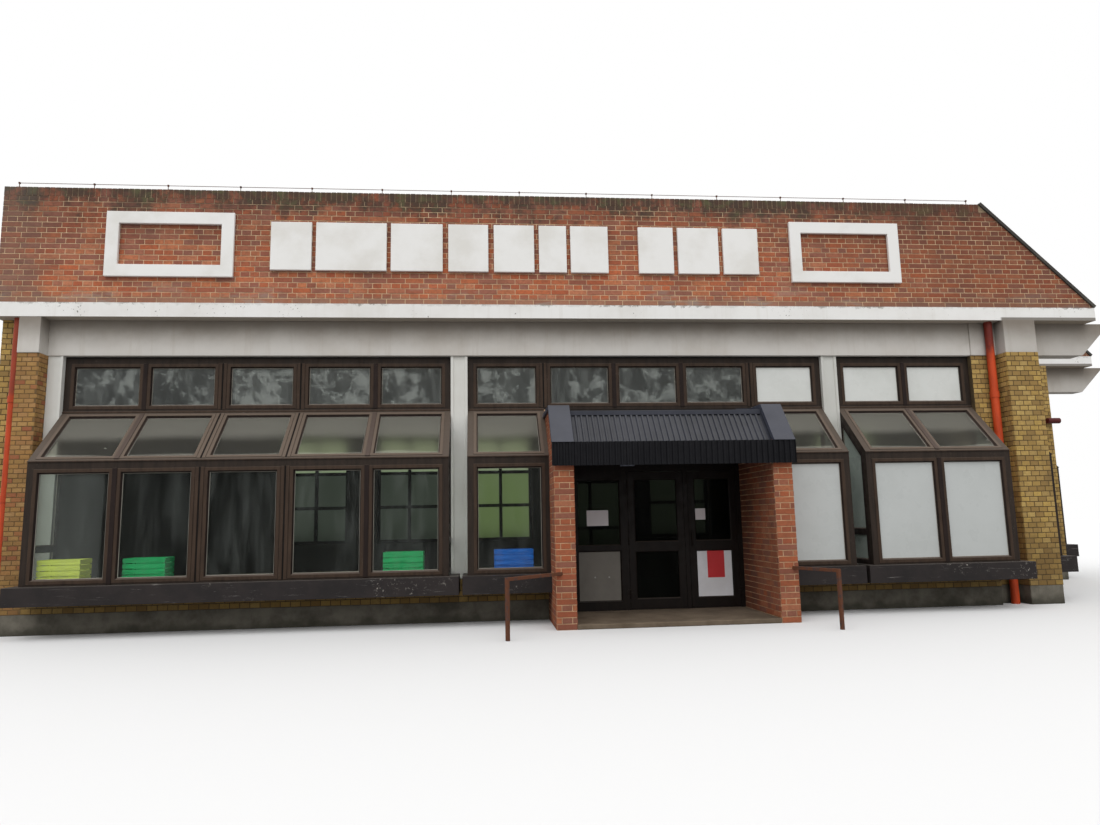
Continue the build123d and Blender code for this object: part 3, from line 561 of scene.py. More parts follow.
def hull(points):
    """The convex outline round flat points, anticlockwise, without points in line."""
    def turn(a, b, c):
        return (b[0] - a[0]) * (c[1] - a[1]) - (b[1] - a[1]) * (c[0] - a[0])

    rows = sorted({(round(u, 5), round(v, 5)) for u, v in points})
    halves = []
    for ordered in (rows, rows[::-1]):
        half = []
        for point in ordered:
            while len(half) >= 2 and turn(half[-2], half[-1], point) <= 1e-7:
                half.pop()
            half.append(point)
        halves.append(half[:-1])
    return halves[0] + halves[1]


def grown(outline, distance):
    """A convex outline moved outwards by a distance, with mitred corners."""
    lines = []
    count = len(outline)
    for number in range(count):
        (u0, v0), (u1, v1) = outline[number], outline[(number + 1) % count]
        length = math.hypot(u1 - u0, v1 - v0)
        nu, nv = (v1 - v0) / length, (u0 - u1) / length
        lines.append((nu, nv, nu * u0 + nv * v0 + distance))
    corners = []
    for number in range(count):
        a0, b0, c0 = lines[number - 1]
        a1, b1, c1 = lines[number]
        cross = a0 * b1 - a1 * b0
        corners.append(((c0 * b1 - c1 * b0) / cross, (a0 * c1 - a1 * c0) / cross))
    return corners


def clipped(piece, outline):
    """The part of a convex piece that lies inside a convex outline."""
    count = len(outline)
    for number in range(count):
        (u0, v0), (u1, v1) = outline[number], outline[(number + 1) % count]

        def inside(point):
            return (u1 - u0) * (point[1] - v0) - (v1 - v0) * (point[0] - u0)

        kept = []
        for place, point in enumerate(piece):
            before = piece[place - 1]
            a, b = inside(before), inside(point)
            if (a >= 0) != (b >= 0):
                share = a / (a - b)
                kept.append((before[0] + (point[0] - before[0]) * share,
                             before[1] + (point[1] - before[1]) * share))
            if b >= 0:
                kept.append(point)
        piece = kept
        if len(piece) < 3:
            return []
    return piece


def linked(name, data):
    """A new object in the scene."""
    made = bpy.data.objects.new(name, data)
    bpy.context.scene.collection.objects.link(made)
    return made


class Shape:
    """Collects closed bodies for one piece, each with a tone of its own."""

    def __init__(self):
        self.points = []
        self.faces = []
        self.tones = []

    def add(self, points, faces, tone=0.0):
        start = len(self.points)
        self.points.extend(points)
        self.faces.extend(tuple(start + index for index in face) for face in faces)
        self.tones.extend([tone] * len(points))

    def tile(self, sheet, outline, back, front, rim, tone=0.0):
        """A slab with a chamfered rim, from back to front along the sheet's outward axis."""
        count = len(outline)
        inner = grown(outline, -rim)
        points = [sheet.at(u, v, back) for u, v in outline]
        points += [sheet.at(u, v, front - rim) for u, v in outline]
        points += [sheet.at(u, v, front) for u, v in inner]
        faces = [tuple(range(2 * count, 3 * count)), tuple(range(count - 1, -1, -1))]
        for here in range(count):
            after = (here + 1) % count
            faces.append((here, after, count + after, count + here))
            faces.append((count + here, count + after, 2 * count + after, 2 * count + here))
        self.add(points, faces, tone)

    def ring(self, sheet, outline, profile):
        """A closed profile of (distance outwards, height) carried round an outline."""
        loops = [[sheet.at(u, v, height) for u, v in grown(outline, distance)]
                 for distance, height in profile]
        count = len(outline)
        points = [point for loop in loops for point in loop]
        faces = []
        for number in range(len(loops)):
            following = (number + 1) % len(loops)
            for here in range(count):
                after = (here + 1) % count
                faces.append((number * count + here, number * count + after,
                              following * count + after, following * count + here))
        self.add(points, faces)

    def block(self, low, high, rim=0.002):
        """A box between two corners, with its top rim chamfered."""
        sheet = Sheet((0, 0, 0), *TOP)
        self.tile(sheet, rect(low[0], high[0], low[1], high[1]), low[2], high[2], rim)

    def rod(self, start, end, radius, sides=12):
        """A round bar between two points."""
        start, end = Vector(start), Vector(end)
        along = (end - start).normalized()
        side = along.orthogonal().normalized()
        other = along.cross(side)
        turns = [2 * math.pi * number / sides for number in range(sides)]
        points = [centre + (side * math.cos(turn) + other * math.sin(turn)) * radius
                  for centre in (start, end) for turn in turns]
        faces = [tuple(range(sides - 1, -1, -1)), tuple(range(sides, 2 * sides))]
        faces += [(here, (here + 1) % sides, sides + (here + 1) % sides, sides + here)
                  for here in range(sides)]
        self.add(points, faces)

    def done(self, name, material, slot, body=BUILDING, replaces=()):
        mesh = bpy.data.meshes.new(name)
        mesh.from_pydata([tuple(point) for point in self.points], [], self.faces)
        mesh.update()
        tones = mesh.attributes.new("tone", "FLOAT", "POINT")
        tones.data.foreach_set("value", self.tones)
        mesh.materials.append(material)
        piece = linked(name, mesh)
        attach(piece, body)
        if replaces:
            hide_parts(*replaces)


# Reading the frame

def spots_of(node):
    return [vert.co for vert in nodes[node].data.vertices]


def islands(node):
    """The corners of each separate solid of a node."""
    work = bmesh.new()
    work.from_mesh(nodes[node].data)
    bmesh.ops.remove_doubles(work, verts=work.verts, dist=1e-5)
    seen = set()
    found = []
    for start in work.verts:
        if start.index in seen:
            continue
        seen.add(start.index)
        group, front = [], [start]
        while front:
            vert = front.pop()
            group.append(vert)
            for edge in vert.link_edges:
                other = edge.other_vert(vert)
                if other.index not in seen:
                    seen.add(other.index)
                    front.append(other)
        normals = {}
        for face in {face for vert in group for face in vert.link_faces}:
            key = tuple(round(value, 3) for value in face.normal)
            normals[key] = normals.get(key, 0.0) + face.calc_area()
        found.append(([vert.co.copy() for vert in group], normals))
    work.free()
    return found


def corners_box(points):
    low = Vector(min(point[axis] for point in points) for axis in range(3))
    high = Vector(max(point[axis] for point in points) for axis in range(3))
    return low, high


def boxes(node):
    """(lowest, highest) corner of each solid of a node, from left to right."""
    found = [corners_box(points) for points, _ in islands(node)]
    return sorted(found, key=lambda pair: (round(pair[0].x, 3), pair[0].y, pair[0].z))


class Pane:
    """A sheet of glass: its working plane lies on the outer face, centred."""

    def __init__(self, points, normals):
        out = Vector(max(normals, key=normals.get)).normalized()
        if out.z < -0.1 or (abs(out.z) <= 0.1 and out.x - out.y < 0):
            out = -out
        middle = sum(points, Vector()) / len(points)
        u = Vector((0, 0, 1)).cross(out)
        front = max((point - middle).dot(out) for point in points)
        self.sheet = Sheet(middle + out * front, u, out.cross(u))
        self.outline = hull([self.sheet.flat(point) for point in points])
        self.low, self.high = corners_box(points)
        self.thick = 2 * front
        self.width = max(u for u, _ in self.outline) - min(u for u, _ in self.outline)
        self.slope = out.z > 0.3
        self.upper = self.low.z > UPPER_FOOT_Z
        self.cheek = self.width < CHEEK_WIDEST and not self.slope

    def place(self):
        return (self.low + self.high) / 2


def panes_of(node):
    return [Pane(points, normals) for points, normals in islands(node)]


# The rooms, a little inside which every face counts as an inside face
SKIN = 0.006
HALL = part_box("floor_slab")
REAR_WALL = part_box("rear_wall")
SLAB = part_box("roof_slab")
FIRST_SIDE, SECOND_SIDE = boxes("side_piers")[:2]
ROOMS = (
    ((HALL[0].x - SKIN, HALL[0].y - SKIN, 0.0),
     (FIRST_SIDE[0].x + SKIN, HALL[1].y + SKIN, SLAB[0].z)),
    ((FIRST_SIDE[0].x, FIRST_SIDE[1].y - SKIN, 0.0),
     (HALL[1].x + SKIN, HALL[1].y + SKIN, SLAB[0].z)),
)

RED_TONES = [
    (194, 112, 76), (178, 104, 74), (202, 125, 86), (168, 100, 76), (186, 117, 89),
    (156, 96, 77), (198, 109, 70), (174, 113, 89), (156, 104, 87), (188, 105, 70),
    (181, 99, 68), (196, 121, 85), (164, 107, 88), (187, 110, 75), (198, 128, 94),
]
YELLOW_TONES = [
    (186, 155, 92), (173, 142, 81), (194, 164, 100), (163, 133, 76), (181, 148, 85),
    (154, 124, 73), (189, 157, 88), (169, 139, 83), (148, 120, 72), (178, 149, 92),
]
OCHRE_TONES = [
    (172, 134, 82), (160, 124, 74), (178, 140, 88), (162, 122, 72), (154, 120, 72),
    (174, 128, 80), (158, 104, 68), (168, 132, 78), (150, 114, 70), (172, 136, 90),
    (164, 126, 80), (156, 116, 74), (170, 130, 84), (152, 92, 64),
]
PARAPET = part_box("parapet_front")
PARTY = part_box("party_wall")
CORNER_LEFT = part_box("corner_piers")[0].x
# Painted shade for the porch walls' faces above the canopy sheet: half width, foot and colour
PORCH_INNER_SHADE = (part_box("porch_walls")[1].x - 0.02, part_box("canopy_sheet")[0].z, (52, 54, 62))
WALL_FOOT = (84, 64, 36)
OFF_WHITE = (240, 239, 236)
CLEAR_GLASS = (222, 228, 223)
PANE_DUST = (142, 142, 132)

red_parapet = brick_finish(
    "red_brick_parapet", RED_TONES, (92, 66, 56), (132, 80, 60),
    top_z=PARAPET[1].z - 0.10, bloom_z=PARAPET[0].z,
    shades=[("X", PARAPET[1].x - 5.4, PARAPET[1].x - 1.4, 0.52, (96, 60, 46)),
            ("X", PARTY[0].x + 0.85, PARTY[0].x + 0.1, 0.45, (104, 98, 90))])
# Deeper into the porch the bricks get painted shade of the canopy
red_porch = brick_finish(
    "red_brick_porch", RED_TONES, (96, 66, 52), (136, 80, 58),
    shades=[("Z", 9.0, 3.0, 0.36, (88, 56, 42)), ("Y", -4.2, -3.4, 0.60, (58, 38, 30))])
yellow_brick = brick_finish("yellow_brick_wall", YELLOW_TONES, (92, 76, 54), (146, 118, 72),
                            shades=[("Z", 1.6, 0.5, 0.48, WALL_FOOT)])
ochre_brick = brick_finish("ochre_brick_pier", OCHRE_TONES, (104, 80, 54), (150, 112, 70),
                           shades=[("Z", 1.5, 0.5, 0.34, WALL_FOOT)])
pale_mortar = mortar_finish(
    "pale_mortar", (228, 200, 162), (178, 150, 122),
    shades=[("Z", PARAPET[1].z - 0.45, PARAPET[1].z - 0.10, 0.66, (76, 66, 56))])
porch_mortar = mortar_finish("porch_mortar", (212, 178, 142), (164, 132, 104), inner=PORCH_INNER_SHADE)
dark_mortar = mortar_finish("dark_mortar", (98, 82, 58), (74, 62, 45))
ochre_mortar = mortar_finish("ochre_mortar", (128, 102, 68), (104, 82, 56))
# The slab's lower lip right of the corner is darkened by dirt and painted shade, its soffit by
# painted shade
slab_paint = paint_finish("slab_paint", OFF_WHITE, (204, 198, 188), 0.25, chips=(96, 90, 82),
                          edge_z=SLAB[1].z, under=(SLAB[0].z + 0.040, CORNER_LEFT, (92, 82, 70)))
# The beams' paint is greyer than the slab's and browner towards it: dirt and painted shade; it is
# darker right of the corner too
beam_paint = paint_finish("beam_paint", (206, 202, 196), (178, 168, 155), 0.4,
                          soot_and_shade_z=(SLAB[0].z - 0.46, SLAB[0].z + 0.01),
                          shades=[("X", CORNER_LEFT - 0.5, CORNER_LEFT, 0.20, SOOT_AND_SHADE)])
pilaster_paint = paint_finish("pilaster_paint", (224, 224, 219), (192, 188, 178), 0.3,
                              shades=[("X", 1.0, 2.4, 0.35, (158, 158, 150))])
plinth_concrete = concrete_finish("plinth_concrete", (120, 115, 104), (80, 76, 67), damp_z=0.14)
floor_concrete = concrete_finish("floor_concrete_worn", (118, 104, 88), (90, 78, 64))
# The hall's floor is darkened as painted shade of the dim rooms
hall_floor = concrete_finish("hall_floor", (50, 47, 42), (40, 37, 34))
frame_dark = frame_finish("frame_dark_brown", (42, 32, 29), (32, 25, 23), (98, 85, 78))
frame_body = frame_finish("frame_body_brown", (53, 44, 38), (41, 35, 31), (99, 88, 79))
frame_brown = frame_finish("frame_brown", (69, 55, 45), (54, 43, 36), (114, 101, 90))
door_brown = frame_finish("door_brown", (27, 21, 18), (21, 17, 15), (70, 61, 54), rough=0.38)
joint_black = plain_finish("joint_shadow", (22, 18, 16), (32, 26, 23), 0.9)
gasket = plain_finish("glazing_gasket", (150, 146, 136), (104, 100, 92), 0.7)
# The panes at the left end are paler: dust and painted reflection
window_glass = glass_finish("window_glass_clear", CLEAR_GLASS, PANE_DUST,
                            haze=(PARTY[0].x + 1.70, PARTY[0].x + 1.76, 0.026))
slope_glass = glass_finish("slope_glass_dusty", (216, 214, 204), (116, 114, 104),
                           bands=(2.27, 2.44, 2.60), soft=0.29)
# The upper panes' clouds are partly dust, partly painted reflection
upper_glass = glass_finish("upper_glass_dusty", CLEAR_GLASS, PANE_DUST, ior=1.28, veil=0.035,
                           dust_and_reflection_clouds=0.18, soft=0.29)
rear_glass = glass_finish("rear_glass_dark", (52, 58, 50), (84, 88, 80), soft=0.30,
                          shades=[("X", -3.2, -3.0, 1.0, (96, 112, 70)),
                                  ("X", -0.95, -0.85, 1.0, (52, 58, 48))])
rear_glass_high = glass_finish("rear_glass_high", (134, 146, 116), (142, 146, 132), soft=0.30)
door_glass = glass_finish("door_glass_clear", (98, 102, 94), (110, 112, 104))
canopy_metal = sheet_metal_finish("canopy_ribbed", (27, 27, 30), (22, 22, 25), gloss=0.1)
slope_metal = sheet_metal_finish("canopy_slope", (62, 64, 73), (52, 54, 62))
cap_metal = sheet_metal_finish("canopy_cap", (68, 71, 84), (58, 61, 73))
sill_coat = sill_finish()
left_pipe = pipe_finish("pipe_paint_left", [("Z", 3.0, 3.3, 0.55, (104, 54, 44))])
right_pipe = pipe_finish("pipe_paint_right", [("Z", 3.55, 3.95, 0.85, (80, 26, 26))])
rusted = rust_finish()
deck_felt = felt_finish("roof_felt", (86, 84, 80), (62, 60, 58))
slope_felt = felt_finish("slope_felt", (58, 55, 52), (42, 40, 38))
soffit_wood = wood_finish("soffit_wood", (62, 50, 44), (40, 33, 30))
board_wood = wood_finish("board_wood", (128, 118, 102), (102, 94, 80))
grey_sheet = plain_finish("grey_sheet", (118, 114, 107), (100, 96, 90), 0.6)
white_sheet = plain_finish("white_sheet", (226, 226, 230), (206, 204, 206), 0.45)
# The film is greyer on the lower panes: painted shade of the eave
white_film = plain_finish("white_film", (219, 221, 217), (207, 209, 204), 0.3,
                          shades=[("Z", 2.9, 2.3, 0.45, (148, 154, 156))])
sign_paint = plain_finish("sign_paint", OFF_WHITE, (222, 219, 212), 0.45)
paper = plain_finish("paper", (222, 216, 218), (202, 196, 198), 0.8)
red_paper = plain_finish("red_paper", (206, 62, 66), (186, 52, 54), 0.7)
steel = plain_finish("brushed_steel", (168, 168, 166), (132, 132, 130), 0.35)
fitting_red = plain_finish("dark_red_fitting", (96, 30, 30), (70, 24, 24), 0.4)

NODE_FINISHES = (
    (pale_mortar, "parapet_front parapet_step parapet_rear parapet_party"),
    (porch_mortar, "porch_walls"),
    (ochre_mortar, "left_pier"),
    (dark_mortar, "corner_piers pipe_strips side_piers base_walls rear_wall party_wall"),
    (slab_paint, "roof_slab"),
    (beam_paint, "fascia_beam pier_heads side_fascia cantilever_beams"),
    (pilaster_paint, "pilasters"),
    (plinth_concrete, "plinth_front plinth_side"),
    (hall_floor, "floor_slab"),
    (floor_concrete, "porch_floor"),
    (frame_body, "bay_1_frame bay_2_frame bay_3_frame side_bay_frames clerestory_frames"),
    (frame_dark, "bay_cheeks rear_windows rear_door"),
    (window_glass, "bay_glass"),
    (rear_glass, "rear_glass"),
    (sill_coat, "bay_sills"),
    (board_wood, "sill_boards window_crates"),
    (canopy_metal, "canopy_fascia"),
    (slope_metal, "canopy_sheet"),
    (cap_metal, "canopy_caps canopy_deck"),
    (soffit_wood, "canopy_bearer porch_soffit"),
    (deck_felt, "roof_deck"),
    (slope_felt, "roof_slopes"),
    (left_pipe, "downpipe_left"),
    (right_pipe, "downpipe_right"),
    (door_brown, "screen_head screen_posts side_light_frame door_centre door_right"),
    (door_glass, "side_light_glass door_centre_glass door_right_glass"),
    (grey_sheet, "side_light_panel"),
    (white_sheet, "door_right_panel"),
    (rusted, "handrails lightning_wire"),
)


def finish_nodes():
    for material, names in NODE_FINISHES:
        for name in names.split():
            mesh = nodes[name].data
            mesh.materials.clear()
            mesh.materials.append(material)


def far_head():
    """The head over the far pier, which is brick like the pier."""
    low, high = boxes("corner_piers")[1]
    return Vector((low.x, low.y, high.z)), Vector((high.x, high.y, SLAB[0].z))


def reface(node, material, inside):
    """Gives the faces of a node whose corners all pass a test a material of their own."""
    mesh = nodes[node].data
    mesh.materials.append(material)
    for polygon in mesh.polygons:
        if all(inside(mesh.vertices[index].co) for index in polygon.vertices):
            polygon.material_index = len(mesh.materials) - 1


def finish_parts():
    """Mortar behind the far head's bricks, and a glass of its own for each height of pane."""
    low, high = far_head()
    reface("side_fascia", dark_mortar,
           lambda spot: all(low[axis] - NEAR < spot[axis] < high[axis] + NEAR for axis in (0, 1)))
    for node, glass, foot, top in (("bay_glass", slope_glass, SLOPE_FOOT_Z, UPPER_FOOT_Z),
                                   ("bay_glass", upper_glass, UPPER_FOOT_Z, UPPER_TOP_Z),
                                   ("rear_glass", rear_glass_high, REAR_TRANSOM_Z, UPPER_TOP_Z)):
        reface(node, glass, lambda spot: foot < spot.z < top)


CLEAR_NODES = ("bay_glass", "rear_glass", "side_light_glass", "door_centre_glass",
               "door_right_glass")

# Cast and folded edges that are soft in the real thing
SOFT_EDGES = (
    (0.012, "porch_floor"),
    (0.010, "roof_slab cantilever_beams plinth_front plinth_side"),
    (0.008, "pier_heads"),
    (0.006, "fascia_beam side_fascia pilasters bay_sills"),
    (0.004, "canopy_caps handrails"),
    (0.003, "bay_1_frame bay_2_frame bay_3_frame side_bay_frames clerestory_frames"),
    (0.002, "door_centre door_right screen_posts side_light_frame"),
)


def let_light_in():
    """Panes throw no shadow, so daylight reaches what stands behind them."""
    for name in CLEAR_NODES:
        nodes[name].visible_shadow = False


def soften_edges():
    for width, names in SOFT_EDGES:
        for name in names.split():
            weld = nodes[name].modifiers.new("weld", "WELD")
            weld.merge_threshold = 0.0001
            bevel = nodes[name].modifiers.new("soft_edge", "BEVEL")
            bevel.width = width
            bevel.segments = 2
            bevel.limit_method = "ANGLE"
            bevel.angle_limit = math.radians(35)


# Brickwork

def without(piece, hole):
    """What a rectangle (u0, u1, v0, v1) keeps outside another one, as rectangles."""
    u0, u1, v0, v1 = piece
    h0, h1, w0, w1 = hole
    if u1 <= h0 or u0 >= h1 or v1 <= w0 or v0 >= w1:
        return [piece]
    left, right = max(u0, h0), min(u1, h1)
    parts = [(u0, h0, v0, v1), (h1, u1, v0, v1), (left, right, v0, w0), (left, right, w1, v1)]
    return [part for part in parts
            if part[1] - part[0] > SMALLEST_CUT and part[3] - part[2] > SMALLEST_CUT]


ENGLISH = (STRETCHER, HEADER)
HEADERS = (HEADER, HEADER)


def lay(shape, sheet, outline, chance, holes=(), course=COURSE, bond=ENGLISH):
    """Bricks over a convex outline, with two pitches in turn and each second course set over."""
    us, vs = zip(*outline)
    u_low, u_high, v_low, v_high = min(us), max(us), min(vs), max(vs)
    square = len(outline) == 4 and all(u in (u_low, u_high) and v in (v_low, v_high)
                                       for u, v in outline)
    gap = JOINT / 2
    for row in range(math.ceil((v_high - v_low) / course - 0.01)):
        v0 = v_low + row * course + gap
        v1 = min(v0 + course - JOINT, v_high)
        pitch = bond[row % 2]
        start = u_low - (HEADER / 2 if row % 2 else 0)
        for number in range(math.ceil((u_high - start) / pitch)):
            u0 = max(start + number * pitch + gap, u_low)
            u1 = min(start + (number + 1) * pitch - gap, u_high)
            if u1 - u0 < SMALLEST_CUT or v1 - v0 < SMALLEST_CUT:
                continue
            tone = chance.random()
            front = BRICK_PROUD + chance.uniform(*BRICK_UNEVEN)
            pieces = [(u0, u1, v0, v1)]
            for hole in holes:
                pieces = [part for piece in pieces for part in without(piece, hole)]
            for piece in pieces:
                corners = rect(*piece)
                if not square:
                    corners = hull(clipped(corners, outline))
                    reach = [u for u, _ in corners]
                    if len(corners) < 3 or max(reach) - min(reach) < SMALLEST_CUT:
                        continue
                shape.tile(sheet, corners, -BRICK_ROOT, front, BRICK_RIM, tone)


def lay_upright(shape, sheet, u_low, u_high, v_low, v_high, chance, back=-BRICK_ROOT):
    """One course of bricks on edge or on end, side by side."""
    count = max(1, round((u_high - u_low) / COURSE))
    pitch = (u_high - u_low) / count
    for number in range(count):
        u0 = u_low + number * pitch + JOINT / 2
        outline = rect(u0, u0 + pitch - JOINT, v_low, v_high)
        front = BRICK_PROUD + chance.uniform(*UPRIGHT_UNEVEN)
        shape.tile(sheet, outline, back, front, BRICK_RIM, chance.random())


def face_of(low, high, side):
    """The working plane and outline of one side of a box."""
    low, high = Vector(low), Vector(high)
    origins = {STREET: (low.x, low.y, low.z), RIGHT: (high.x, low.y, low.z),
               REAR: (high.x, high.y, low.z), LEFT: (low.x, high.y, low.z)}
    width = high.x - low.x if side in (STREET, REAR) else high.y - low.y
    return Sheet(origins[side], *side), rect(0, width, 0, high.z - low.z)


def parapets():
    """Red parapets with a course of bricks on edge along their tops."""
    chance = random.Random(11)
    for name, side in (("parapet_front", STREET), ("parapet_step", STREET), ("parapet_rear", REAR)):
        shape = Shape()
        low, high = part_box(name)
        sheet, _ = face_of(low, high, side)
        top = high.z - low.z - COPING_H
        body = clipped(hull([sheet.flat(spot) for spot in spots_of(name)]),
                       rect(-1, high.x - low.x + 1, 0, top))
        lay(shape, sheet, body, chance, course=top / PARAPET_COURSES)
        crest = [spot.x for spot in spots_of(name) if spot.z > high.z - NEAR]
        lay_upright(shape, Sheet((0, 0, high.z), *TOP), min(crest) - BRICK_PROUD - COPING_CLEAR,
                    max(crest), low.y - BRICK_PROUD, high.y + BRICK_PROUD, chance, -COPING_H)
        shape.done(name + "_bricks", red_parapet, "red_brick")

    shape = Shape()
    low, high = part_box("parapet_party")
    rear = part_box("parapet_rear")
    sheet, outline = face_of((low.x, PARAPET[0].y, low.z),
                             (high.x, rear[1].y, high.z - COPING_H), LEFT)
    lay(shape, sheet, outline, chance, course=(high.z - low.z - COPING_H) / PARAPET_COURSES)
    across = Sheet((low.x, 0, high.z), (0, 1, 0), (-1, 0, 0))
    lay_upright(shape, across, PARAPET[1].y, rear[0].y, -(high.x - low.x) - BRICK_PROUD,
                BRICK_PROUD, chance, -COPING_H)
    shape.done("parapet_party_bricks", red_parapet, "red_brick")


def yellow_walls():
    """Piers, the strips behind the pipes and the low walls below the sills, in header bond."""
    chance = random.Random(23)
    shape = Shape()

    def lay_face(low, high, side):
        lay(shape, *face_of(low, high, side), chance, bond=HEADERS)

    low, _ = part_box("left_pier")
    lay_face((*PARTY[0].xy, low.z), (low.x, *PARTY[1].yz), STREET)
    piers = first, second = boxes("corner_piers")
    strips = boxes("pipe_strips")
    for (low, high), strip in zip(piers, strips):
        lay_face(low, high, STREET)
        lay_face(low, high, RIGHT)
        lay_face(low, (high.x, strip[0].y, high.z), LEFT)
        lay_face(*strip, STREET)
    for side in (STREET, RIGHT):
        lay_face(*far_head(), side)
    step_y = strips[1][0].y - (strips[0][0].y - PARAPET[0].y)
    low, high = FIRST_SIDE
    lay_face(low, (high.x, step_y, high.z), RIGHT)
    for side in (RIGHT, REAR):
        lay_face(*SECOND_SIDE, side)
    for low, high in boxes("base_walls"):
        if high.x - low.x > high.y - low.y:
            lay_face(low, high, STREET)
    foot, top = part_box("plinth_front")[1].z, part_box("base_walls")[1].z
    for pier, end in ((first, step_y), (second, REAR_WALL[1].y)):
        x = pier[1].x
        lay_face((x - FACE_BACK, pier[1].y, foot), (x, end, top), RIGHT)
    lay_face((first[1].x, step_y, foot), (strips[1][0].x, step_y + FACE_BACK, top), STREET)
    shape.done("yellow_bricks", yellow_brick, "yellow_brick")


def left_pier():
    """The narrow pier at the party wall, in thinner bricks than the rest."""
    chance = random.Random(29)
    shape = Shape()
    low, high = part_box("left_pier")
    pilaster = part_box("pilasters")[0]
    for back, side in ((high.y, STREET), (PARTY[0].y, LEFT), (pilaster.y, RIGHT)):
        lay(shape, *face_of(low, (high.x, back, high.z), side), chance,
            course=THIN_COURSE, bond=HEADERS)
    shape.done("left_pier_bricks", ochre_brick, "yellow_brick")


SILL_OVER, SILL_OUT, SILL_T = 0.04, 0.05, 0.06


def rear_walls():
    """The platform side and the party wall, in plain yellow brick with upright lintels."""
    chance = random.Random(37)
    lintel = STRETCHER - JOINT
    shape = Shape()
    sheet, outline = face_of((PARTY[0].x, *REAR_WALL[0].yz), REAR_WALL[1], REAR)
    holes = []
    for low, high in boxes("rear_windows") + [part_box("rear_door")]:
        u0, v0 = sheet.flat((high.x, 0, low.z))
        u1, v1 = sheet.flat((low.x, 0, high.z))
        start, end, top = u0 - HEADER / 2, u1 + HEADER / 2, v1 + lintel + JOINT
        lay_upright(shape, sheet, start, end, v1 + JOINT / 2, v1 + lintel + JOINT / 2, chance)
        holes += [(u0, u1, v0, top), (start, end, v1, top)]
    lay(shape, sheet, outline, chance, holes)
    shape.done("rear_wall_bricks", yellow_brick, "rear_brick")

    shape = Shape()
    lay(shape, *face_of(*PARTY, LEFT), chance)
    shape.done("party_wall_bricks", yellow_brick, "rear_brick")

    sills = Shape()
    for low, high in boxes("rear_windows"):
        sills.block((low.x - SILL_OVER, high.y, low.z - SILL_T),
                    (high.x + SILL_OVER, REAR_WALL[1].y + SILL_OUT, low.z), 0.006)
    sills.done("rear_sills", plinth_concrete, "concrete")


BAY_CLEAR = 0.02
SILL_CLEAR = 0.01
SCREEN_CLEAR = 0.012


def porch_bricks():
    """Red porch walls: ends, outer sides up to the bays, and the sides within the porch."""
    chance = random.Random(41)
    shape = Shape()
    bay_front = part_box("bay_2_frame")[0].y
    base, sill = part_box("plinth_front")[0].y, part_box("bay_sills")[0].z - SILL_CLEAR
    spots = spots_of("bay_2_frame")
    bend = max(spot.z for spot in spots if spot.y < bay_front + NEAR)
    top_z = max(spot.z for spot in spots)
    top_y = min(spot.y for spot in spots if spot.z > top_z - NEAR)
    bend_reach = bay_front + (BEND_Z - bend - BAY_CLEAR) * (top_y - bay_front) / (top_z - bend)
    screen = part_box("screen_posts")[0].y + SCREEN_CLEAR
    floor_top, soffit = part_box("porch_floor")[1].z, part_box("porch_soffit")[0].z
    spots = spots_of("porch_walls")
    for (low, high), outer, inner in zip(boxes("porch_walls"), (LEFT, RIGHT), (RIGHT, LEFT)):
        head = max(spot.z for spot in spots if spot.y < low.y + NEAR)
        lay(shape, *face_of(low, (*high.xy, head), STREET), chance)
        sheet, _ = face_of(low, (high.x, bay_front, high.z), outer)
        rim = [(spot.y, spot.z) for spot in spots if spot.y < bay_front]
        rim += [(bay_front, low.z), (bay_front, BEND_Z)]
        over = [(bay_front, bend + BAY_CLEAR), (bay_front, BEND_Z), (bend_reach, BEND_Z)]
        under = [(bay_front, low.z), (bay_front, sill), (base, sill), (base, low.z)]
        for corners in (rim, over, under):
            lay(shape, sheet, hull([sheet.flat((low.x, y, z)) for y, z in corners]), chance)
        lay(shape, *face_of((*low.xy, floor_top), (high.x, screen, soffit), inner), chance)
    shape.done("porch_bricks", red_porch, "red_brick")


# Windows

def bar(start, end, root, top, rim):
    """The profile of a raised bar with chamfered rims, for Shape.ring."""
    return [(start, root), (start, top - rim), (start + rim, top),
            (end - rim, top), (end, top - rim), (end, root)]


def glazing(beads, seals, pane, depth, side):
    """A sloping bead from the frame's opening down to a pale rubber seal on the glass."""
    glass = 0.0 if side == 1 else -pane.thick
    inner, seal = -BEAD_W, -BEAD_W - GASKET_W
    bead = [(-0.0005, glass + side * depth * 0.75), (inner, glass + side * 0.008),
            (inner, glass), (-0.0005, glass)]
    rubber = [(inner + 0.001, glass + side * 0.006), (seal, glass + side * 0.003),
              (seal, glass - side * 0.0005), (inner + 0.001, glass - side * 0.0005)]
    beads.ring(pane.sheet, pane.outline, bead[::side])
    seals.ring(pane.sheet, pane.outline, rubber[::side])


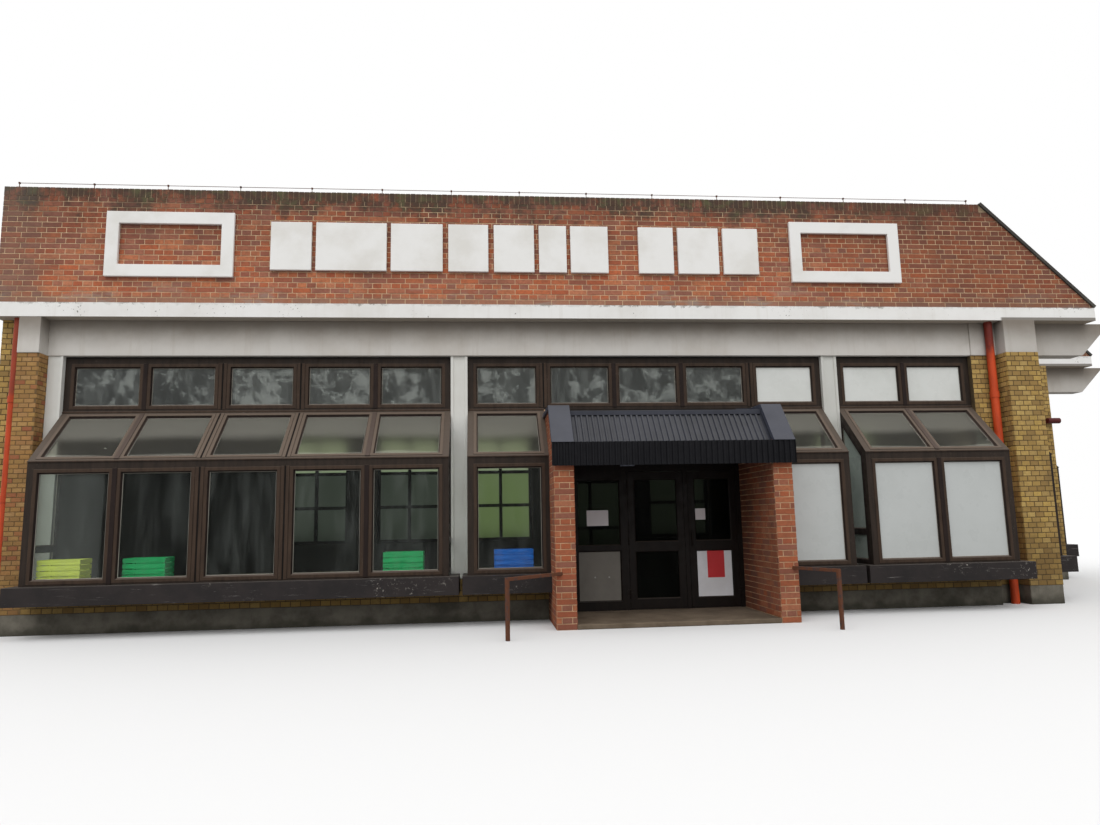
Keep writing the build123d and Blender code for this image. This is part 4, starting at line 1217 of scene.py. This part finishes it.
def strips_between(strips, covers, grooves, row, depth):
    """Cover strips on the mullions of one row of panes; a wide one shows a dark joint."""
    row = sorted(row, key=lambda pane: pane.place().dot(row[0].sheet.u))
    sheet = row[0].sheet
    for left, right in zip(row, row[1:]):
        u_left, v_left = zip(*(sheet.flat(left.sheet.at(u, v)) for u, v in left.outline))
        u0 = max(u_left)
        u1 = min(sheet.flat(right.sheet.at(u, v))[0] for u, v in right.outline)
        if not MULLION_LEAST < u1 - u0 < MULLION_MOST:
            continue
        v0, v1 = min(v_left) - STRIP_DOWN, max(v_left) + STRIP_UP
        start, end = u0 + SASH_W + STRIP_GAP, u1 - SASH_W - STRIP_GAP
        middle = (start + end) / 2
        root = depth - TRIM_ROOT
        if u1 - u0 < WIDE_MULLION_LEAST:
            outline = rect(middle - COVER_W / 2, middle + COVER_W / 2, v0, v1)
            covers.tile(sheet, outline, root, depth + COVER_PROUD, TRIM_RIM)
            continue
        for a, b in ((start, middle - GROOVE_LIP), (middle + GROOVE_LIP, end)):
            strips.tile(sheet, rect(a, b, v0, v1), root, depth + STRIP_PROUD, TRIM_RIM)
        groove = rect(middle - GROOVE_HALF, middle + GROOVE_HALF, v0, v1)
        grooves.tile(sheet, groove, root, depth + 0.0006, 0.0002)


def rows_of(panes):
    """Panes that share one plane and one height."""
    rows = {}
    for pane in panes:
        out = pane.sheet.out
        key = tuple(round(value, 2) for value in (*out, out.dot(pane.sheet.origin), pane.low.z))
        rows.setdefault(key, []).append(pane)
    return list(rows.values())


def window_trims():
    panes = panes_of("bay_glass")
    wide = [pane for pane in panes if not pane.cheek]
    sashes, covers, beads, seals, grooves = (Shape() for _ in range(5))
    profile = bar(0.003, SASH_W, GLASS_SET - TRIM_ROOT, GLASS_SET + SASH_PROUD, TRIM_RIM)
    for pane in wide:
        sashes.ring(pane.sheet, pane.outline, profile)
    for pane in panes:
        for side in (1, -1):
            glazing(beads, seals, pane, CHEEK_SET if pane.cheek else GLASS_SET, side)
    for row in rows_of(wide):
        strips_between(sashes, covers, grooves, row, GLASS_SET)
    for shape, name, finish in ((sashes, "sashes", frame_brown), (covers, "covers", frame_dark),
                                (beads, "beads", frame_dark), (seals, "seals", gasket),
                                (grooves, "joints", joint_black)):
        shape.done("window_" + name, finish, "window_frame")
    films(panes)


DRIP_DROP, DRIP_LIFT, DRIP_PROUD, DRIP_RIM = 0.018, 0.002, 0.014, 0.003
FRAME_DEPTH = 0.08
FRAME_SLOPE = math.radians(44.4)


def eave_strips():
    """Drip mouldings along the foot and the head of every slope."""
    shape = Shape()
    for name in ("bay_1_frame", "bay_2_frame", "bay_3_frame", "side_bay_frames"):
        for points, _ in islands(name):
            low, high = corners_box(points)
            along_x = high.x - low.x > high.y - low.y or name != "side_bay_frames"
            eave = max(p.z for p in points
                       if (p.y < low.y + NEAR if along_x else p.x > high.x - NEAR))
            foot, top = eave - DRIP_DROP, eave - DRIP_LIFT
            if along_x:
                shape.block((low.x, low.y - DRIP_PROUD, foot), (high.x, low.y, top), DRIP_RIM)
                back = max(p.y for p in points) - FRAME_DEPTH / math.sin(FRAME_SLOPE)
                shape.block((low.x, back - 0.012, high.z - 0.004),
                            (high.x, back + 0.002, high.z + 0.022), DRIP_RIM)
            else:
                shape.block((high.x, low.y, foot), (high.x + DRIP_PROUD, high.y, top), DRIP_RIM)
    shape.done("eave_drips", frame_brown, "window_frame")


def head_shadow_lines():
    """A dark strip painted as the shadow line between the beams and the upper frames."""
    shape = Shape()
    for low, high in boxes("clerestory_frames"):
        foot, top = high.z - 0.022, high.z - 0.001
        shape.block((low.x + 0.001, low.y - 0.001, foot), (high.x - 0.001, low.y + 0.002, top),
                    0.0003)
        if high.y - low.y > high.x - low.x:
            shape.block((high.x - 0.002, low.y + 0.001, foot),
                        (high.x + 0.001, high.y - 0.001, top), 0.0003)
    shape.done("head_shadow_lines", joint_black, "window_frame")


def edge_strip():
    """The raised edge of the white strip beside the first bay."""
    shape = Shape()
    low, high = boxes("pilasters")[0]
    shape.block((high.x - 0.036, low.y - 0.012, low.z), (high.x, low.y + 0.002, high.z), 0.003)
    shape.done("strip_edge", pilaster_paint, "white_render")


def stick(shape, sheet, outline, back=0.0003, front=0.0012):
    """A thin sheet stuck on a face."""
    shape.tile(sheet, outline, back, front, 0.0002)


def films(panes):
    """White film stuck over the panes of the shop at the right-hand end."""
    shape = Shape()
    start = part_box("porch_walls")[1].x
    first_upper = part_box("bay_2_frame")[1].x - 1.1
    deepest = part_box("pipe_strips")[0].y + 0.4
    for pane in panes:
        place = pane.place()
        if not start < place.x < CORNER_LEFT or place.y > deepest or pane.slope:
            continue
        if pane.upper and place.x < first_upper:
            continue
        stick(shape, pane.sheet, grown(pane.outline, -BEAD_W - 0.001), 0.0004)
    shape.done("window_films", white_film, "window_glass")


# Porch and doors

BEND_Z = max(spot.z for spot in spots_of("canopy_caps")) - 0.055
CANOPY_LAMP_X = -0.62
STUB_Z = 3.08
STUB_OUT = 0.06
DOOR_BEAD = [(-0.0005, 0.022 * 0.7), (-0.011, 0.010), (-0.014, 0.006), (-0.014, -0.0004),
             (-0.0005, -0.0004)]
DOOR_PANES = ((BUILDING, "side_light_glass"), ("door_centre", "door_centre_glass"),
              ("door_right", "door_right_glass"), ("door_right", "door_right_panel"),
              (BUILDING, "side_light_panel"))
BARE_SHEETS = (
    ("side_light_notice", "side_light_glass", (-0.96, -0.65, 1.24, 1.46), 0.0012, paper, BUILDING),
    ("door_right_poster", "door_right_panel", (0.765, 1.014, 0.479, 0.857), 0.0014, red_paper,
     "door_right"),
    ("door_right_card", "door_right_glass", (0.615, 0.765, 1.30, 1.46), 0.0012, paper,
     "door_right"),
)
CAP_X = (-0.86, -0.66)
CAP_Z = 0.52


def canopy_trims():
    """Flashing over the ribbed sheet and a slim lamp under the fascia."""
    flashing = Shape()
    low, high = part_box("canopy_deck")
    flashing.block((low.x, low.y - 0.035, high.z - 0.002), (high.x, low.y + 0.06, high.z + 0.058),
                   0.004)
    flashing.done("canopy_flashing", slope_metal, "cap_metal")

    lamp = Shape()
    low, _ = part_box("canopy_fascia")
    x, y = CANOPY_LAMP_X, low.y + 0.045
    lamp.block((x - 0.09, y - 0.02, low.z - 0.014), (x + 0.09, y + 0.02, low.z + 0.01), 0.003)
    lamp.done("canopy_lamp", slope_metal, "cap_metal")


def fittings():
    """A short dark red pipe end on the far pier."""
    low, high = boxes("corner_piers")[1]
    stub = Shape()
    y = low.y - STUB_OUT
    stub.rod((high.x - 0.14, y, STUB_Z), (high.x + 0.11, y, STUB_Z), 0.055, sides=20)
    stub.rod((high.x - 0.02, y, STUB_Z), (high.x - 0.02, low.y + 0.01, STUB_Z), 0.020)
    stub.done("pier_fitting", fitting_red, "pipe_paint")


def door_trims():
    """Beads of the entrance, bare sheets on its glass and screw caps."""
    for body, name in DOOR_PANES:
        beads = Shape()
        for pane in panes_of(name):
            beads.ring(pane.sheet, pane.outline, DOOR_BEAD)
        beads.done(name + "_beads", door_brown, "door_frame", body=body)
    for name, node, outline, front, finish, body in BARE_SHEETS:
        shape = Shape()
        stick(shape, Sheet((0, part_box(node)[0].y, 0), *STREET), rect(*outline), front=front)
        shape.done(name, finish, "white_panel", body=body)
    caps = Shape()
    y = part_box("side_light_panel")[0].y
    for x in CAP_X:
        caps.rod((x, y, CAP_Z), (x, y - 0.006, CAP_Z), 0.012, sides=14)
    caps.done("panel_screw_caps", steel, "grey_panel")


# Bare plates where the front carries its sign

PLATE_X = ((-5.37, -4.81), (-4.75, -3.77), (-3.71, -2.98), (-2.90, -2.33), (-2.25, -1.67),
           (-1.60, -1.20), (-1.14, -0.59), (-0.14, 0.38), (0.45, 1.06), (1.13, 1.66))
PLATE_Z = (4.87, 5.57)
PLATE_PINS = (0.09, 0.1)
SIGN_FRAMES_X = ((-7.58, -5.87), (2.16, 3.86))
SIGN_FRAME_Z = (4.76, 5.69)
SIGN_BAR = 0.17
SIGN_GAP = 0.020
SIGN_FRONT = SIGN_GAP + 0.045
SIGN_RIM = 0.004


def sign_plates():
    sheet = Sheet((0, PARAPET[0].y, 0), *STREET)
    plates, rings, pins = Shape(), Shape(), Shape()

    def pin(x0, x1, z0, z1, inset_x, inset_z):
        for x in (x0 + inset_x, x1 - inset_x):
            for z in (z0 + inset_z, z1 - inset_z):
                pins.rod(sheet.at(x, z, 0), sheet.at(x, z, SIGN_GAP + 0.002), 0.008, sides=8)

    for x0, x1 in PLATE_X:
        plates.tile(sheet, rect(x0, x1, *PLATE_Z), SIGN_GAP, SIGN_FRONT, SIGN_RIM)
        pin(x0, x1, *PLATE_Z, *PLATE_PINS)
    z0, z1 = SIGN_FRAME_Z
    for x0, x1 in SIGN_FRAMES_X:
        rings.ring(sheet, rect(x0 + SIGN_BAR, x1 - SIGN_BAR, z0 + SIGN_BAR, z1 - SIGN_BAR),
                   bar(0, SIGN_BAR, SIGN_GAP, SIGN_FRONT, SIGN_RIM))
        pin(x0, x1, z0, z1, SIGN_BAR / 2, SIGN_BAR / 2)
    plates.done("sign_plates", sign_paint, "white_panel")
    rings.done("sign_frames", sign_paint, "white_panel")
    pins.done("sign_pins", steel, "white_panel")


# Slatted crates on the sill boards

YELLOW = ((218, 228, 92), (190, 200, 72))
GREEN = ((30, 176, 104), (24, 146, 84))
BLUE = ((14, 104, 206), (12, 84, 170))
SLATS = 4
SLAT_GAP = 0.012
SLAT_T = 0.012
POST = 0.028


def crates():
    colors = (YELLOW, GREEN, GREEN, BLUE)
    for number, ((low, high), paint) in enumerate(zip(boxes("window_crates"), colors), start=1):
        shape = Shape()
        height = (high.z - low.z - (SLATS - 1) * SLAT_GAP) / SLATS
        x0, x1 = low.x + SLAT_T, high.x - SLAT_T
        y0, y1 = low.y + SLAT_T, high.y - SLAT_T
        for row in range(SLATS):
            foot = low.z + row * (height + SLAT_GAP)
            top = foot + height
            shape.block((low.x, low.y, foot), (high.x, y0, top))
            shape.block((low.x, y1, foot), (high.x, high.y, top))
            for x in (low.x, x1):
                shape.block((x, y0 + 0.001, foot), (x + SLAT_T, y1 - 0.001, top))
        for x in (x0, x1 - POST):
            for y in (y0, y1 - POST):
                shape.block((x, y, low.z), (x + POST, y + POST, high.z - 0.004))
        shape.block((x0, y0, low.z), (x1, y1, low.z + SLAT_T))
        shape.done(f"slatted_crate_{number}", wood_finish(f"crate_paint_{number}", *paint),
                   "crate_wood", replaces=("window_crates",) if number == 1 else ())


# The stage

FLOOR_REACH = 70.0
SKY_FOOT, SKY_TOP = 0.50, 1.60
LAMP_POWER = 0.8
LAMP_SPREAD = math.radians(50)
LAMP_TURN = (math.radians(42), math.radians(-16), 0)


def stage_and_light():
    floor = bpy.data.meshes.new("floor")
    corners = [(x, y, 0) for x, y in rect(-FLOOR_REACH, FLOOR_REACH, -FLOOR_REACH, FLOOR_REACH)]
    floor.from_pydata(corners, [], [(0, 1, 2, 3)])
    made = Finish("pale_floor", rough=0.95)
    seen = made.node("ShaderNodeLightPath").outputs["Is Camera Ray"]
    made.color = made.mix(seen, (150, 150, 150), (222, 222, 222))
    floor.materials.append(made.done())
    linked("floor", floor)

    world = bpy.data.worlds.new("sky")
    bpy.context.scene.world = world
    world.use_nodes = True
    sky = Nodes(world.node_tree)
    place = sky.node("ShaderNodeTexCoord").outputs["Generated"]
    height = sky.span(sky.axis("Z", place), 0.0, 1.0, SKY_FOOT, SKY_TOP, kind="LINEAR")
    path = sky.node("ShaderNodeLightPath")
    shown = path.outputs["Is Camera Ray"]
    for ray in ("Is Glossy Ray", "Is Transmission Ray"):
        shown = sky.math("MAXIMUM", shown, path.outputs[ray])
    blend = sky.node("ShaderNodeMix", data_type="FLOAT")
    for socket, value in ((0, shown), (2, height), (3, 1.0)):
        sky.feed(blend.inputs[socket], value)
    background = sky.tree.nodes["Background"]
    background.inputs["Color"].default_value = (1, 1, 1, 1)
    sky.feed(background.inputs["Strength"], blend.outputs[0])

    lamp = bpy.data.lights.new("soft_key", "SUN")
    lamp.energy = LAMP_POWER
    lamp.angle = LAMP_SPREAD
    linked("soft_key", lamp).rotation_euler = LAMP_TURN


def place_camera():
    right, forward, up = (Matrix.Rotation(ROLL, 3, "Y") @ Matrix.Rotation(-PITCH, 3, "X")
                          @ Matrix.Rotation(YAW, 3, "Z"))
    camera = bpy.data.cameras.new("camera")
    camera.sensor_fit = "HORIZONTAL"
    camera.sensor_width = SENSOR
    camera.lens = FOCAL_PX * SENSOR / PHOTO_W
    eye = linked("camera", camera)
    axes = Matrix((right, up, -forward)).transposed()
    eye.matrix_world = Matrix.Translation(EYE) @ axes.to_4x4()
    bpy.context.scene.camera = eye


for step in (finish_nodes, finish_parts, let_light_in, soften_edges, parapets, yellow_walls,
             left_pier, rear_walls, porch_bricks, window_trims, eave_strips, head_shadow_lines,
             edge_strip, canopy_trims, fittings, door_trims, sign_plates, crates,
             stage_and_light, place_camera):
    step()
bpy.context.scene.view_settings.view_transform = "Standard"
bpy.context.view_layer.update()
